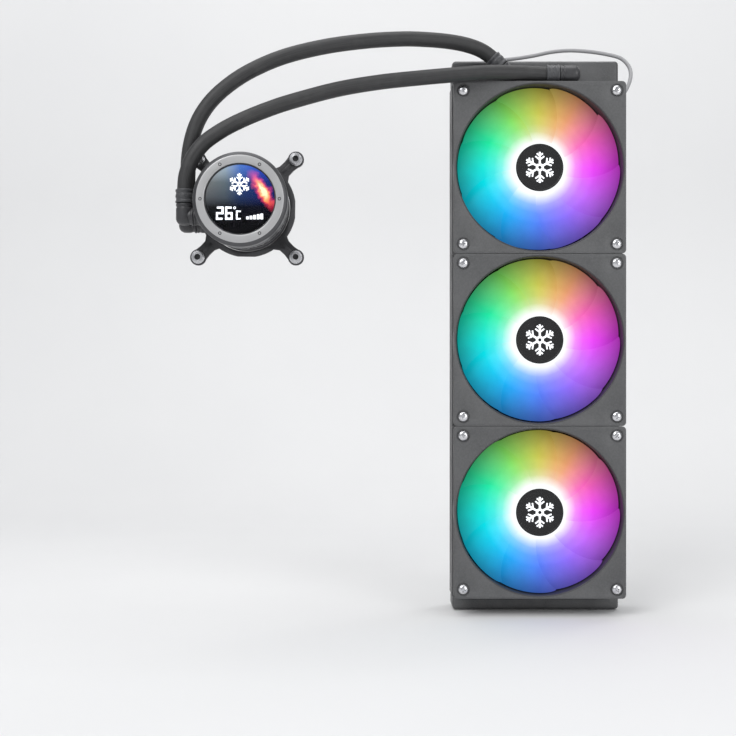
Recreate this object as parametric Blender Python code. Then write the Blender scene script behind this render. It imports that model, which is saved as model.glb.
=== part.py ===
"""A 420 mm liquid cooling radiator with three 140 mm fans, its two hoses and the pump head that they feed.

The row frame has +Z up, and the fans and the pump's display face -Y. The origin lies in the radiator's rear
mounting plane, on the middle fan's axis. Depths in front of that plane are called h here, so y = -h.
"""

import math

import bmesh
import bpy
from mathutils import Matrix, Vector

MM = 0.001
GAP = 0.3 * MM  # the clearance left between two pieces that touch

# Fans
FAN_SIZE = 140 * MM
FAN_NAMES = ("fan_1", "fan_2", "fan_3")  # from the top down
FAN_DEPTH = 25 * MM
FAN_CORNER_R = 3.5 * MM
FLANGE_T = 4 * MM
BORE_R = 67.4 * MM
BARREL_R = 69.5 * MM
SCREW_PITCH = 124.5 * MM
HUB_R = 22 * MM
HUB_CAP_R = 19.3 * MM
BLADE_TIP_R = 66.3 * MM
BLADE_COUNT = 9
BORE_STEPS = 36

# Radiator
RAD_WIDTH = 139.4 * MM
RAD_DEPTH = 27 * MM
TOP_TANK_H = 22.7 * MM
BOTTOM_TANK_H = 13.7 * MM
CORE_LENGTH = 3 * FAN_SIZE
CORE_HALF_WIDTH = 58 * MM
SHEET_T = 1.2 * MM
RAIL_FLANGE = 14 * MM
TUBE_COUNT = 14
TUBE_T = 2.2 * MM
TANK_WALL = 2.5 * MM

# Hoses and their elbows
HOSE_R = 6 * MM
ELBOW_R = 6.9 * MM
ELBOW_REACH = 10 * MM  # from the port's axis to the end of the barrel that the hose meets
STRAIGHT = 12 * MM  # of each hose, inside its collar
SUPPLY_X, RETURN_X = -22.5 * MM, 27 * MM  # the tank's ports
PORT_Z = 217.5 * MM
SUPPLY_HEIGHT = 9.8 * MM  # of the barrel's axis over the tank
RETURN_HEIGHT = 17 * MM
SUPPLY_ANGLE = math.radians(45)  # how far the supply hose rises from level at the radiator

# Pump head: heights are measured from the cold plate's contact face towards the display
PUMP_X = -236 * MM
PUMP_Z = 104.6 * MM
PLATE_H = 58.6 * MM  # the contact face, in front of the radiator's mounting plane
PLATE_SIZE = 56 * MM
PUMP_R = 34 * MM
HOUSING_TOP = 42 * MM
SUPPLY_PORT = (-14 * MM, 20 * MM)  # the port's place up the side, and its height
RETURN_PORT = (-10 * MM, 35 * MM)
PORT_REACH = 38 * MM
BARREL_OFFSET = 45.3 * MM  # of the hose from the pump's axis
NUT_PITCH = 78 * MM

PALETTE = {
    "coated_aluminium": ((0.030, 0.031, 0.033), 0.55, 0.6),
    "fin_aluminium": ((0.045, 0.046, 0.048), 0.45, 0.8),
    "frame_plastic": ((0.050, 0.051, 0.053), 0.60, 0.0),
    "frosted_plastic": ((0.75, 0.80, 0.85), 0.35, 0.0),
    "dark_plastic": ((0.020, 0.020, 0.022), 0.45, 0.0),
    "steel": ((0.62, 0.62, 0.63), 0.30, 1.0),
    "copper": ((0.72, 0.35, 0.20), 0.30, 1.0),
    "rubber": ((0.025, 0.025, 0.026), 0.65, 0.0),
    "silver_metal": ((0.60, 0.60, 0.60), 0.35, 1.0),
    "display_glass": ((0.06, 0.06, 0.08), 0.05, 0.0),
    "display_screen": ((0.02, 0.02, 0.04), 0.25, 0.0),
    "winding": ((0.55, 0.27, 0.12), 0.40, 1.0),
}


# ---------------------------------------------------------------- mesh makers


def mesh_of(name, bm):
    """A mesh from bm with its faces pointing out, shaded smooth but for edges over 35 degrees."""
    bmesh.ops.remove_doubles(bm, verts=bm.verts, dist=1e-7)
    bmesh.ops.recalc_face_normals(bm, faces=bm.faces)
    mesh = bpy.data.meshes.new(name)
    bm.to_mesh(mesh)
    bm.free()
    mesh.shade_smooth()
    mesh.set_sharp_from_angle(angle=math.radians(35))
    return mesh


def turned(name, profile, steps=32):
    """A solid of revolution about local Z. The profile's (radius, z) points run from the axis back to it,
    or round a closed ring where none of them lies on the axis."""
    bm = bmesh.new()
    rings = []
    for radius, z in profile:
        if radius < 1e-9:
            rings.append([bm.verts.new((0, 0, z))] * steps)
            continue
        turn = 2 * math.pi / steps
        rings.append(
            [bm.verts.new((radius * math.cos(i * turn), radius * math.sin(i * turn), z)) for i in range(steps)]
        )
    solid_ring = min(radius for radius, _ in profile) > 1e-9
    pairs = list(zip(rings, rings[1:])) + ([(rings[-1], rings[0])] if solid_ring else [])
    for low, high in pairs:
        for i in range(steps):
            j = (i + 1) % steps
            corners = list(dict.fromkeys([low[i], low[j], high[j], high[i]]))
            if len(corners) > 2:
                bm.faces.new(corners)
    return mesh_of(name, bm)


def plate(name, loops, h_back, h_front):
    """A flat plate in the XZ plane between two depths. The first loop is its outline, the others are holes."""
    bm = bmesh.new()
    edges = []
    for loop in loops:
        verts = [bm.verts.new((x, -h_back, z)) for x, z in loop]
        edges += [bm.edges.new((a, b)) for a, b in zip(verts, verts[1:] + verts[:1])]
    bmesh.ops.triangle_fill(bm, use_beauty=True, use_dissolve=False, edges=edges)
    made = bmesh.ops.extrude_face_region(bm, geom=bm.faces[:])
    moved = [v for v in made["geom"] if isinstance(v, bmesh.types.BMVert)]
    bmesh.ops.translate(bm, vec=(0, h_back - h_front, 0), verts=moved)
    return mesh_of(name, bm)


def block(name, x, h, z, bevel=0.0, bevel_steps=2):
    """A box from the (low, high) pairs of x, depth h and z, with its edges rounded."""
    bm = bmesh.new()
    bmesh.ops.create_cube(bm, size=1)
    size = Vector((x[1] - x[0], h[1] - h[0], z[1] - z[0]))
    middle = Vector((x[0] + x[1], -h[0] - h[1], z[0] + z[1])) / 2
    bmesh.ops.transform(bm, matrix=Matrix.Translation(middle) @ Matrix.Diagonal(size).to_4x4(), verts=bm.verts)
    if bevel:
        bmesh.ops.bevel(bm, geom=bm.edges[:], offset=bevel, segments=bevel_steps, profile=0.5, affect="EDGES")
    return mesh_of(name, bm)


def moved(mesh, matrix):
    mesh.transform(matrix)
    return mesh


def combined(name, base, others, operation="UNION"):
    """base with the others joined to it or cut from it, one after another."""
    body = bpy.data.objects.new(name + "_body", base)
    tools = [bpy.data.objects.new(name + "_tool", mesh) for mesh in others]
    for obj in (body, *tools):
        bpy.context.scene.collection.objects.link(obj)
    for tool in tools:
        cut = body.modifiers.new(operation.title(), "BOOLEAN")
        cut.operation = operation
        cut.object = tool
    bpy.context.view_layer.update()
    result = bpy.data.meshes.new_from_object(body.evaluated_get(bpy.context.evaluated_depsgraph_get()))
    result.name = name
    for obj in (body, *tools):
        bpy.data.objects.remove(obj)
    return result


def facing(point, direction):
    """The matrix that stands local Z along direction at point."""
    return Matrix.Translation(point) @ Vector(direction).to_track_quat("Z", "Y").to_matrix().to_4x4()


FRONT = Matrix.Rotation(math.radians(90), 4, "X")  # turns local Z to -Y, so that a turned solid's z is a depth


def circle(x, z, radius, steps):
    return [
        (x + radius * math.cos(2 * math.pi * i / steps), z + radius * math.sin(2 * math.pi * i / steps))
        for i in range(steps)
    ]


def rounded_square(half_x, half_z, radius, steps=3):
    """The outline of a rectangle about the origin with round corners."""
    points = []
    for quarter in range(4):
        cx = (half_x - radius) * (1 if quarter in (0, 3) else -1)
        cz = (half_z - radius) * (1 if quarter < 2 else -1)
        for i in range(steps + 1):
            a = math.pi / 2 * (quarter + i / steps)
            points.append((cx + radius * math.cos(a), cz + radius * math.sin(a)))
    return points


# ---------------------------------------------------------------- placing


def material(slot):
    found = bpy.data.materials.get(slot)
    if found:
        return found
    colour, roughness, metallic = PALETTE[slot]
    made = bpy.data.materials.new(slot)
    made.use_nodes = True
    shader = made.node_tree.nodes["Principled BSDF"]
    shader.inputs["Base Color"].default_value = (*colour, 1)
    shader.inputs["Roughness"].default_value = roughness
    shader.inputs["Metallic"].default_value = metallic
    return made


def add(name, mesh, slot, parent=None, matrix=None):
    obj = bpy.data.objects.new(name, mesh)
    bpy.context.scene.collection.objects.link(obj)
    if not mesh.materials:
        mesh.materials.append(material(slot))
    obj.parent = parent
    if matrix is not None:
        obj.matrix_local = matrix
    return obj


def empty(name, point):
    obj = bpy.data.objects.new(name, None)
    obj.location = point
    bpy.context.scene.collection.objects.link(obj)
    return obj


# ---------------------------------------------------------------- radiator


def tank_mesh(name, z_open, z_end, divided):
    """An end tank: a box open towards the core, with a rib that splits inlet from outlet where it is divided."""
    half = RAD_WIDTH / 2
    low, high = sorted((z_open, z_end))
    tank = block(name, (-half, half), (0, RAD_DEPTH), (low, high), bevel=1.6 * MM)
    inward = 1 if z_end < z_open else -1
    cavity_z = sorted((z_open + inward * 5 * MM, z_end + inward * TANK_WALL))
    depth = (TANK_WALL, RAD_DEPTH - TANK_WALL)
    rib = 1 * MM if divided else 0
    sides = ((-half + TANK_WALL, -rib), (rib, half - TANK_WALL)) if divided else ((-half + TANK_WALL, half - TANK_WALL),)
    cutters = [block("cavity", side, depth, cavity_z) for side in sides]
    if divided:
        # The rib stops short of the core's header.
        cutters.append(block("room", (-20 * MM, 20 * MM), depth, sorted((cavity_z[0], z_open - inward * 3 * MM))))
        for x in (SUPPLY_X, RETURN_X):
            drill = turned("drill", [(0, 20 * MM), (4 * MM, 20 * MM), (4 * MM, 30 * MM), (0, 30 * MM)], 12)
            cutters.append(moved(drill, Matrix.Translation((x, 0, PORT_Z)) @ FRONT))
    return combined(name, tank, cutters, "DIFFERENCE")


def rail_mesh(side):
    """A C-channel down one long side, open towards the core, with a fan screw hole at every corner of each fan."""
    half, lip = RAD_WIDTH / 2, RAD_WIDTH / 2 - RAIL_FLANGE
    outline = [
        (lip, 0),
        (half, 0),
        (half, RAD_DEPTH),
        (lip, RAD_DEPTH),
        (lip, RAD_DEPTH - SHEET_T),
        (half - SHEET_T, RAD_DEPTH - SHEET_T),
        (half - SHEET_T, SHEET_T),
        (lip, SHEET_T),
    ]
    bm = bmesh.new()
    face = bm.faces.new([bm.verts.new((side * x, -h, -CORE_LENGTH / 2)) for x, h in outline])
    made = bmesh.ops.extrude_face_region(bm, geom=[face])
    far = [v for v in made["geom"] if isinstance(v, bmesh.types.BMVert)]
    bmesh.ops.translate(bm, vec=(0, 0, CORE_LENGTH), verts=far)
    bmesh.ops.triangulate(bm, faces=bm.faces)
    drills = []
    for fan in range(3):
        for end in (-1, 1):
            z = (1 - fan) * FAN_SIZE + end * SCREW_PITCH / 2
            drill = turned("drill", [(0, -3 * MM), (1.9 * MM, -3 * MM), (1.9 * MM, 30 * MM), (0, 30 * MM)], 8)
            drills.append(moved(drill, Matrix.Translation((side * SCREW_PITCH / 2, 0, z)) @ FRONT))
    return combined("side_rail", mesh_of("side_rail", bm), drills, "DIFFERENCE")


def core_mesh():
    """Flat coolant tubes standing proud of the fin packs between them, ending in a header in each tank."""
    low, high, fin_step = 1.5 * MM, 25.5 * MM, 1.2 * MM
    pitch = (2 * CORE_HALF_WIDTH - TUBE_T) / (TUBE_COUNT - 1)
    front, back = [], []
    for i in range(TUBE_COUNT):
        left = -CORE_HALF_WIDTH + i * pitch
        for x in (left, left + TUBE_T):
            inner = (x, high - fin_step)
            outer = (x, high)
            front += [inner, outer] if x == left else [outer, inner]
    front = front[1:-1]
    back = [(x, low if h == high else low + fin_step) for x, h in reversed(front)]
    bm = bmesh.new()
    half = CORE_LENGTH / 2
    face = bm.faces.new([bm.verts.new((x, -h, -half)) for x, h in front + back])
    made = bmesh.ops.extrude_face_region(bm, geom=[face])
    far = [v for v in made["geom"] if isinstance(v, bmesh.types.BMVert)]
    bmesh.ops.translate(bm, vec=(0, 0, 2 * half), verts=far)
    bmesh.ops.triangulate(bm, faces=[f for f in bm.faces if len(f.verts) > 4])
    header = CORE_HALF_WIDTH - 2 * MM
    plug = block("plug", (-header, header), (3 * MM, 24 * MM), (-half - 3 * MM, half + 3 * MM))
    return combined("fin_core", mesh_of("fin_core", bm), [plug])


def build_radiator():
    core_end = CORE_LENGTH / 2
    top = core_end + GAP
    # The tanks' openings are cut a little past their rims, so that the cutters leave no skin there.
    add("tank_top", tank_mesh("tank_top", top, top + TOP_TANK_H, True), "coated_aluminium")
    add("tank_bottom", bottom_tank_mesh(-top, -top - BOTTOM_TANK_H), "coated_aluminium")
    add("side_rail_left", rail_mesh(-1), "coated_aluminium")
    add("side_rail_right", rail_mesh(1), "coated_aluminium")
    add("fin_core", core_mesh(), "fin_aluminium")
    plug = turned("fill_plug", [(0, -4 * MM), (4.7 * MM, -4 * MM), (4.7 * MM, 0), (0, 0)], 16)
    down = facing((0, -RAD_DEPTH / 2, -top - BOTTOM_TANK_H), (0, 0, -1))
    add("fill_plug", plug, "dark_plastic", matrix=down)


def bottom_tank_mesh(z_open, z_end):
    """The plain tank, with a blind seat for the fill plug in its lower end."""
    tank = tank_mesh("tank_bottom", z_open, z_end, False)
    seat = turned("seat", [(0, -4.4 * MM), (5 * MM, -4.4 * MM), (5 * MM, 3 * MM), (0, 3 * MM)], 16)
    boss = turned("boss", [(0, -9 * MM), (8 * MM, -9 * MM), (8 * MM, -1 * MM), (0, -1 * MM)], 16)
    end = facing((0, -RAD_DEPTH / 2, z_end), (0, 0, -1))
    tank = combined("tank_bottom", tank, [moved(boss, end)])
    return combined("tank_bottom", tank, [moved(seat, end)], "DIFFERENCE")


# ---------------------------------------------------------------- fans


def fan_frame_mesh(back):
    """Two square flanges on a round barrel, with four struts that carry the motor cup at the back."""
    half = FAN_SIZE / 2 - GAP / 2
    front = back + FAN_DEPTH
    holes = [
        circle(sx * SCREW_PITCH / 2, sz * SCREW_PITCH / 2, 2.1 * MM, 8) for sx in (-1, 1) for sz in (-1, 1)
    ]
    outline = rounded_square(half, half, FAN_CORNER_R)
    bore = circle(0, 0, BORE_R, BORE_STEPS)
    flanges = [
        plate("flange", [outline, bore, *holes], low, low + FLANGE_T) for low in (back, front - FLANGE_T)
    ]
    barrel = turned(
        "barrel",
        [
            (BORE_R, back + 1 * MM),
            (BARREL_R, back + 1 * MM),
            (BARREL_R, front - 1 * MM),
            (BORE_R, front - 1 * MM),
        ],
        BORE_STEPS,
    )
    cup = turned("cup", [(0, back + 0.4 * MM), (21 * MM, back + 0.4 * MM), (21 * MM, back + 3 * MM), (0, back + 3 * MM)])
    struts = []
    for i in range(4):
        strut = block("strut", (15 * MM, BORE_R + 1.2 * MM), (back + 0.8 * MM, back + 2.8 * MM), (-2 * MM, 2 * MM))
        struts.append(moved(strut, Matrix.Rotation(math.radians(45 + 90 * i), 4, "Y")))
    pieces = [moved(barrel, FRONT), flanges[1], moved(cup, FRONT), *struts]
    return combined("fan_frame", flanges[0], pieces)


def blade_mesh(middle):
    """One swept, pitched blade, with its root inside the hub's wall."""
    spans, chords, thickness = 3, 4, 1.5 * MM
    half_rise = 5.2 * MM
    bm = bmesh.new()
    grid = []
    for side in (1, -1):
        sheet = []
        for s in range(spans + 1):
            share = s / spans
            radius = HUB_R - 1.4 * MM + share * (BLADE_TIP_R - HUB_R + 1.4 * MM)
            width = math.radians(37 + 3.5 * share)
            sweep = math.radians(20) * share**1.4
            row = []
            for c in range(chords + 1):
                across = c / chords - 0.5
                camber = 1.6 * MM * (1 - 4 * across**2)
                depth = middle + 2 * half_rise * across + camber + side * thickness / 2
                angle = sweep + across * width
                row.append(bm.verts.new((radius * math.cos(angle), -depth, radius * math.sin(angle))))
            sheet.append(row)
        grid.append(sheet)
    for sheet in grid:
        for low, high in zip(sheet, sheet[1:]):
            for i in range(chords):
                bm.faces.new((low[i], low[i + 1], high[i + 1], high[i]))
    upper, lower = grid
    rims = [
        (upper[0], lower[0]),
        (upper[-1], lower[-1]),
        ([row[0] for row in upper], [row[0] for row in lower]),
        ([row[-1] for row in upper], [row[-1] for row in lower]),
    ]
    for first, second in rims:
        for i in range(len(first) - 1):
            bm.faces.new((first[i], first[i + 1], second[i + 1], second[i]))
    return mesh_of("blade", bm)


def rotor_mesh(back):
    """A cupped hub, open at the back over the motor, with the blades round it."""
    hub_back, hub_front, inner = back + 4.2 * MM, back + 22.6 * MM, 18.6 * MM
    hub = turned(
        "hub",
        [
            (0, hub_front - 2 * MM),
            (inner, hub_front - 2 * MM),
            (inner, hub_back),
            (HUB_R, hub_back),
            (HUB_R, hub_front - 1 * MM),
            (HUB_R - 1 * MM, hub_front),
            (0, hub_front),
        ],
        28,
    )
    blades = []
    for i in range(BLADE_COUNT):
        turn = Matrix.Rotation(2 * math.pi * i / BLADE_COUNT, 4, "Y")
        blades.append(moved(blade_mesh(back + 15 * MM), turn))
    return combined("fan_rotor", moved(hub, FRONT), blades)


def screw_mesh(top):
    """A long pan-head fan screw whose head sits on the depth top."""
    shank, length = 1.5 * MM, 30 * MM
    return turned(
        "fan_screw",
        [
            (0, top - length),
            (shank, top - length),
            (shank, top),
            (3.6 * MM, top),
            (3.6 * MM, top + 1.2 * MM),
            (2.5 * MM, top + 2.2 * MM),
            (0, top + 2.5 * MM),
        ],
        12,
    )


def build_fans():
    back = RAD_DEPTH + GAP
    front = back + FAN_DEPTH
    meshes = {
        "frame": (fan_frame_mesh(back), "frame_plastic"),
        "rotor": (rotor_mesh(back), "frosted_plastic"),
        "hub_cap": (
            moved(
                turned(
                    "hub_cap",
                    [
                        (0, back + 22.9 * MM),
                        (HUB_CAP_R, back + 22.9 * MM),
                        (HUB_CAP_R, back + 23.5 * MM),
                        (HUB_CAP_R - 0.6 * MM, back + 24 * MM),
                        (0, back + 24 * MM),
                    ],
                    28,
                ),
                FRONT,
            ),
            "dark_plastic",
        ),
        "stator": (
            moved(
                turned(
                    "stator",
                    [
                        (1.8 * MM, back + 3.3 * MM),
                        (14 * MM, back + 3.3 * MM),
                        (14 * MM, back + 8 * MM),
                        (16.5 * MM, back + 8 * MM),
                        (16.5 * MM, back + 16 * MM),
                        (4 * MM, back + 16 * MM),
                        (4 * MM, back + 19 * MM),
                        (1.8 * MM, back + 19 * MM),
                    ],
                    16,
                ),
                FRONT,
            ),
            "winding",
        ),
        "shaft": (
            moved(
                turned(
                    "shaft",
                    [
                        (0, back + 3.4 * MM),
                        (1.5 * MM, back + 3.4 * MM),
                        (1.5 * MM, back + 20.3 * MM),
                        (0, back + 20.3 * MM),
                    ],
                    12,
                ),
                FRONT,
            ),
            "steel",
        ),
    }
    screw = screw_mesh(front + GAP)
    corners = [(-1, 1), (1, 1), (-1, -1), (1, -1)]
    for row, name in enumerate(FAN_NAMES):
        centre = empty(name, (0, 0, (1 - row) * FAN_SIZE))
        for part, (mesh, slot) in meshes.items():
            add(f"{name}_{part}", mesh, slot, centre)
        for n, (sx, sz) in enumerate(corners, 1):
            place = Matrix.Translation((sx * SCREW_PITCH / 2, 0, sz * SCREW_PITCH / 2)) @ FRONT
            add(f"{name}_screw_{n}", screw, "steel", centre, place)


# ---------------------------------------------------------------- hoses


def elbow_mesh(height):
    """A swivel elbow: a neck up local Z from its port, and a barrel along local X that the hose slides on to."""
    neck = turned("neck", [(0, 0), (6.2 * MM, 0), (6.2 * MM, height), (0, height)], 20)
    barrel = turned(
        "barrel",
        [
            (0, -ELBOW_R),
            (ELBOW_R - 2 * MM, -ELBOW_R),
            (ELBOW_R, -ELBOW_R + 2 * MM),
            (ELBOW_R, ELBOW_REACH),
            (0, ELBOW_REACH),
        ],
        20,
    )
    along = Matrix.Translation((0, 0, height)) @ Matrix.Rotation(math.radians(90), 4, "Y")
    return combined("elbow", neck, [moved(barrel, along)])


def elbow_matrix(port, out, barrel):
    """Stands an elbow's neck along out at the port, with its barrel along barrel."""
    z, x = Vector(out).normalized(), Vector(barrel).normalized()
    turn = Matrix((x, z.cross(x), z)).transposed().to_4x4()
    return Matrix.Translation(port) @ turn


def collar_mesh():
    """The crimped sleeve round the hose's end."""
    inner, outer, length = HOSE_R + 0.35 * MM, HOSE_R + 1.3 * MM, 10.5 * MM
    low = ELBOW_REACH + GAP
    return turned(
        "collar",
        [
            (inner, low),
            (outer, low),
            (outer, low + length),
            (inner, low + length),
        ],
        16,
    )


def smooth_line(points, spacing, before=None, after=None):
    """Points about spacing apart on a smooth curve through the route's own points. The points before and after
    it, where given, set the directions in which the curve starts and ends."""
    ends = [before or 2 * points[0] - points[1], *points, after or 2 * points[-1] - points[-2]]
    fine = []
    for a, b, c, d in zip(ends, ends[1:], ends[2:], ends[3:]):
        for i in range(16):
            t = i / 16
            fine.append(
                0.5 * (2 * b + (c - a) * t + (2 * a - 5 * b + 4 * c - d) * t**2 + (3 * b - a - 3 * c + d) * t**3)
            )
    fine.append(points[-1])
    along = [0.0]
    for p, q in zip(fine, fine[1:]):
        along.append(along[-1] + (q - p).length)
    count = max(2, round(along[-1] / spacing))
    line, k = [], 0
    for n in range(count + 1):
        target = along[-1] * n / count
        while k < len(fine) - 2 and along[k + 1] < target:
            k += 1
        share = (target - along[k]) / max(along[k + 1] - along[k], 1e-12)
        line.append(fine[k].lerp(fine[k + 1], min(1.0, share)))
    return line


def tube(name, line, radius, slot, resolution=3):
    """A cord or hose as a round tube along a line of points."""
    curve = bpy.data.curves.new(name, "CURVE")
    curve.dimensions = "3D"
    curve.bevel_depth = radius
    curve.bevel_resolution = resolution
    curve.use_fill_caps = True
    spline = curve.splines.new("POLY")
    spline.points.add(len(line) - 1)
    for point, place in zip(spline.points, line):
        point.co = (*place, 1)
    obj = bpy.data.objects.new(name, curve)
    curve.materials.append(material(slot))
    bpy.context.scene.collection.objects.link(obj)
    return obj


def route(points):
    """Route points given in millimetres as (x, depth h, z)."""
    return [Vector((x, -h, z)) * MM for x, h, z in points]


SUPPLY_ROUTE = [
    (-47.5, 40, 238.4),
    (-59.5, 44, 241.4),
    (-74, 48.5, 242.8),
    (-92, 53.8, 242.9),
    (-112, 58.8, 242),
    (-141, 64.3, 238.8),
    (-174, 69, 233),
    (-206, 73, 224),
    (-232, 76, 212),
    (-251, 77.8, 199),
    (-265, 78.6, 185),
    (-274.5, 78.6, 169),
    (-279.8, 78.6, 150),
    (-281.3, 78.6, 130),
]

RETURN_ROUTE = [
    (-8, 46.4, 217.4),
    (-20, 49.9, 217.1),
    (-44, 55.7, 215.9),
    (-70, 59.4, 213),
    (-100, 62.3, 209.6),
    (-132, 66, 205.2),
    (-165, 71.3, 198.2),
    (-200, 78, 187.2),
    (-218, 82, 180.2),
    (-235, 85.8, 172.4),
    (-250, 89, 164.2),
    (-262.5, 91.4, 155.5),
    (-269.8, 92.5, 148.4),
    (-276.3, 93.2, 138.4),
    (-280.2, 93.5, 127.1),
]


def build_hoses():
    tank_front = RAD_DEPTH + GAP
    side = PUMP_X - PORT_REACH - GAP
    reach = BARREL_OFFSET - PORT_REACH - GAP
    rise = Vector((-math.cos(SUPPLY_ANGLE), 0, math.sin(SUPPLY_ANGLE)))
    ends = {
        "supply": (
            (Vector((SUPPLY_X, -tank_front, PORT_Z)), SUPPLY_HEIGHT, rise),
            (Vector((side, -PLATE_H - SUPPLY_PORT[1], PUMP_Z + SUPPLY_PORT[0])), reach, Vector((0, 0, 1))),
            SUPPLY_ROUTE,
        ),
        "return": (
            (Vector((RETURN_X, -tank_front, PORT_Z)), RETURN_HEIGHT, Vector((-1, 0, 0))),
            (Vector((side, -PLATE_H - RETURN_PORT[1], PUMP_Z + RETURN_PORT[0])), reach, Vector((0, 0, 1))),
            RETURN_ROUTE,
        ),
    }
    for name, (radiator_end, pump_end, middle) in ends.items():
        tips = []
        for place, out, (port, height, barrel) in (
            ("radiator", Vector((0, -1, 0)), radiator_end),
            ("pump", Vector((-1, 0, 0)), pump_end),
        ):
            axis = port + out * height
            add(f"{place}_elbow_{name}", elbow_mesh(height), "dark_plastic", matrix=elbow_matrix(port, out, barrel))
            add(f"{place}_collar_{name}", collar_mesh(), "dark_plastic", matrix=facing(axis, barrel))
            tips.append([axis + barrel * (ELBOW_REACH + GAP), axis + barrel * (ELBOW_REACH + GAP + STRAIGHT)])
        (start, inner), (end, outer) = tips
        line = smooth_line([inner, *route(middle), outer], 2.2 * 2 * HOSE_R, start, end)
        tube(f"hose_{name}", [start, *line, end], HOSE_R, "rubber")


# ---------------------------------------------------------------- fan lead

LEAD_R = 1.6 * MM
LEAD_ROUTE = [
    (54, 39.5, 185.2),
    (62, 39.3, 192.5),
    (70, 38, 201.5),
    (76, 35, 212),
    (78.4, 30.5, 222),
    (76.5, 26.5, 230),
    (71, 23.5, 236),
    (61, 21, 239.6),
    (46, 19.3, 242.4),
    (29, 18.3, 243.6),
    (14, 17.7, 242.4),
    (0, 17.2, 239.6),
    (-14, 16, 237.6),
    (-30, 11, 237),
    (-43, 3.4, 236.6),
    (-49.6, -2.6, 233.4),
    (-52, -5, 226),
    (-52, -5, 213.2),
]
HANK_X, HANK_H, HANK_TOP = -42 * MM, -6.4 * MM, 216 * MM
HANK_LENGTH, HANK_WIDTH, HANK_DEPTH = 62 * MM, 24 * MM, 7.4 * MM
PLUG_X = -47.5 * MM


def build_fan_lead():
    """The upper fan's lead: over the top tank, then wound in a long loop behind the core, with its plug below."""
    tube("fan_lead", smooth_line(route(LEAD_ROUTE), 2.5 * 2 * LEAD_R), LEAD_R, "rubber", resolution=2)
    outline = rounded_square(HANK_WIDTH / 2, HANK_LENGTH / 2, HANK_WIDTH / 2 - 0.1 * MM, 6)
    hank = plate("fan_lead_hank", [outline], HANK_H - HANK_DEPTH / 2, HANK_H + HANK_DEPTH / 2)
    middle = HANK_TOP - HANK_LENGTH / 2
    add("fan_lead_hank", hank, "rubber", matrix=Matrix.Translation((HANK_X, 0, middle)))
    low = HANK_TOP - HANK_LENGTH - GAP
    plug = block(
        "fan_lead_connector",
        (PLUG_X - 5.5 * MM, PLUG_X + 5.5 * MM),
        (HANK_H - 3 * MM, HANK_H + 3 * MM),
        (low - 14 * MM, low),
        bevel=0.6 * MM,
        bevel_steps=1,
    )
    add("fan_lead_connector", plug, "dark_plastic")


# ---------------------------------------------------------------- pump head


def cold_plate_mesh():
    """A copper plate with skived fins on its wet side."""
    half, cut = PLATE_SIZE / 2, 7 * MM
    outline = [
        (half, -half + cut),
        (half, half - cut),
        (half - cut, half),
        (-half + cut, half),
        (-half, half - cut),
        (-half, -half + cut),
        (-half + cut, -half),
        (half - cut, -half),
    ]
    fins = [
        block("fin", (x * 3 * MM - 0.5 * MM, x * 3 * MM + 0.5 * MM), (2 * MM, 5.5 * MM), (-13 * MM, 13 * MM))
        for x in range(-4, 5)
    ]
    return combined("cold_plate", plate("cold_plate", [outline], 0, 3 * MM), fins)


def housing_mesh():
    """The wet housing: a chamber open to the cold plate, the impeller's pin, and two ports on its left side."""
    body = turned(
        "pump_housing",
        [
            (0, 12 * MM),
            (1.5 * MM, 12 * MM),
            (1.5 * MM, 38 * MM),
            (24 * MM, 38 * MM),
            (24 * MM, 4.6 * MM),
            (27.4 * MM, 4.6 * MM),
            (27.4 * MM, 3.3 * MM),
            (PUMP_R, 3.3 * MM),
            (PUMP_R, HOUSING_TOP - 1 * MM),
            (PUMP_R - 1 * MM, HOUSING_TOP),
            (0, HOUSING_TOP),
        ],
        32,
    )
    bosses, bores = [], []
    for z, height in (SUPPLY_PORT, RETURN_PORT):
        boss = turned("boss", [(0, 29 * MM), (7 * MM, 29 * MM), (7 * MM, PORT_REACH), (0, PORT_REACH)], 20)
        bore = turned("bore", [(0, 21 * MM), (4 * MM, 21 * MM), (4 * MM, PORT_REACH + 1 * MM), (0, PORT_REACH + 1 * MM)], 12)
        place = facing((0, -height, z), (-1, 0, 0))
        bosses.append(moved(boss, place))
        bores.append(moved(bore, place))
    body = combined("pump_housing", moved(body, FRONT), bosses)
    return combined("pump_housing", body, bores, "DIFFERENCE")


def impeller_mesh():
    """The pump's rotor: a magnet drum with a vaned disc at its cold end, bored for the pin."""
    drum = turned(
        "impeller",
        [
            (1.8 * MM, 13 * MM),
            (14 * MM, 13 * MM),
            (14 * MM, 14.5 * MM),
            (9 * MM, 15.5 * MM),
            (9 * MM, 36 * MM),
            (1.8 * MM, 36 * MM),
        ],
        24,
    )
    vanes = []
    for i in range(6):
        vane = block("vane", (4 * MM, 13.5 * MM), (10 * MM, 13.6 * MM), (-0.7 * MM, 0.7 * MM))
        vanes.append(moved(vane, Matrix.Rotation(math.radians(60 * i), 4, "Y")))
    return combined("pump_impeller", moved(drum, FRONT), vanes)


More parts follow.
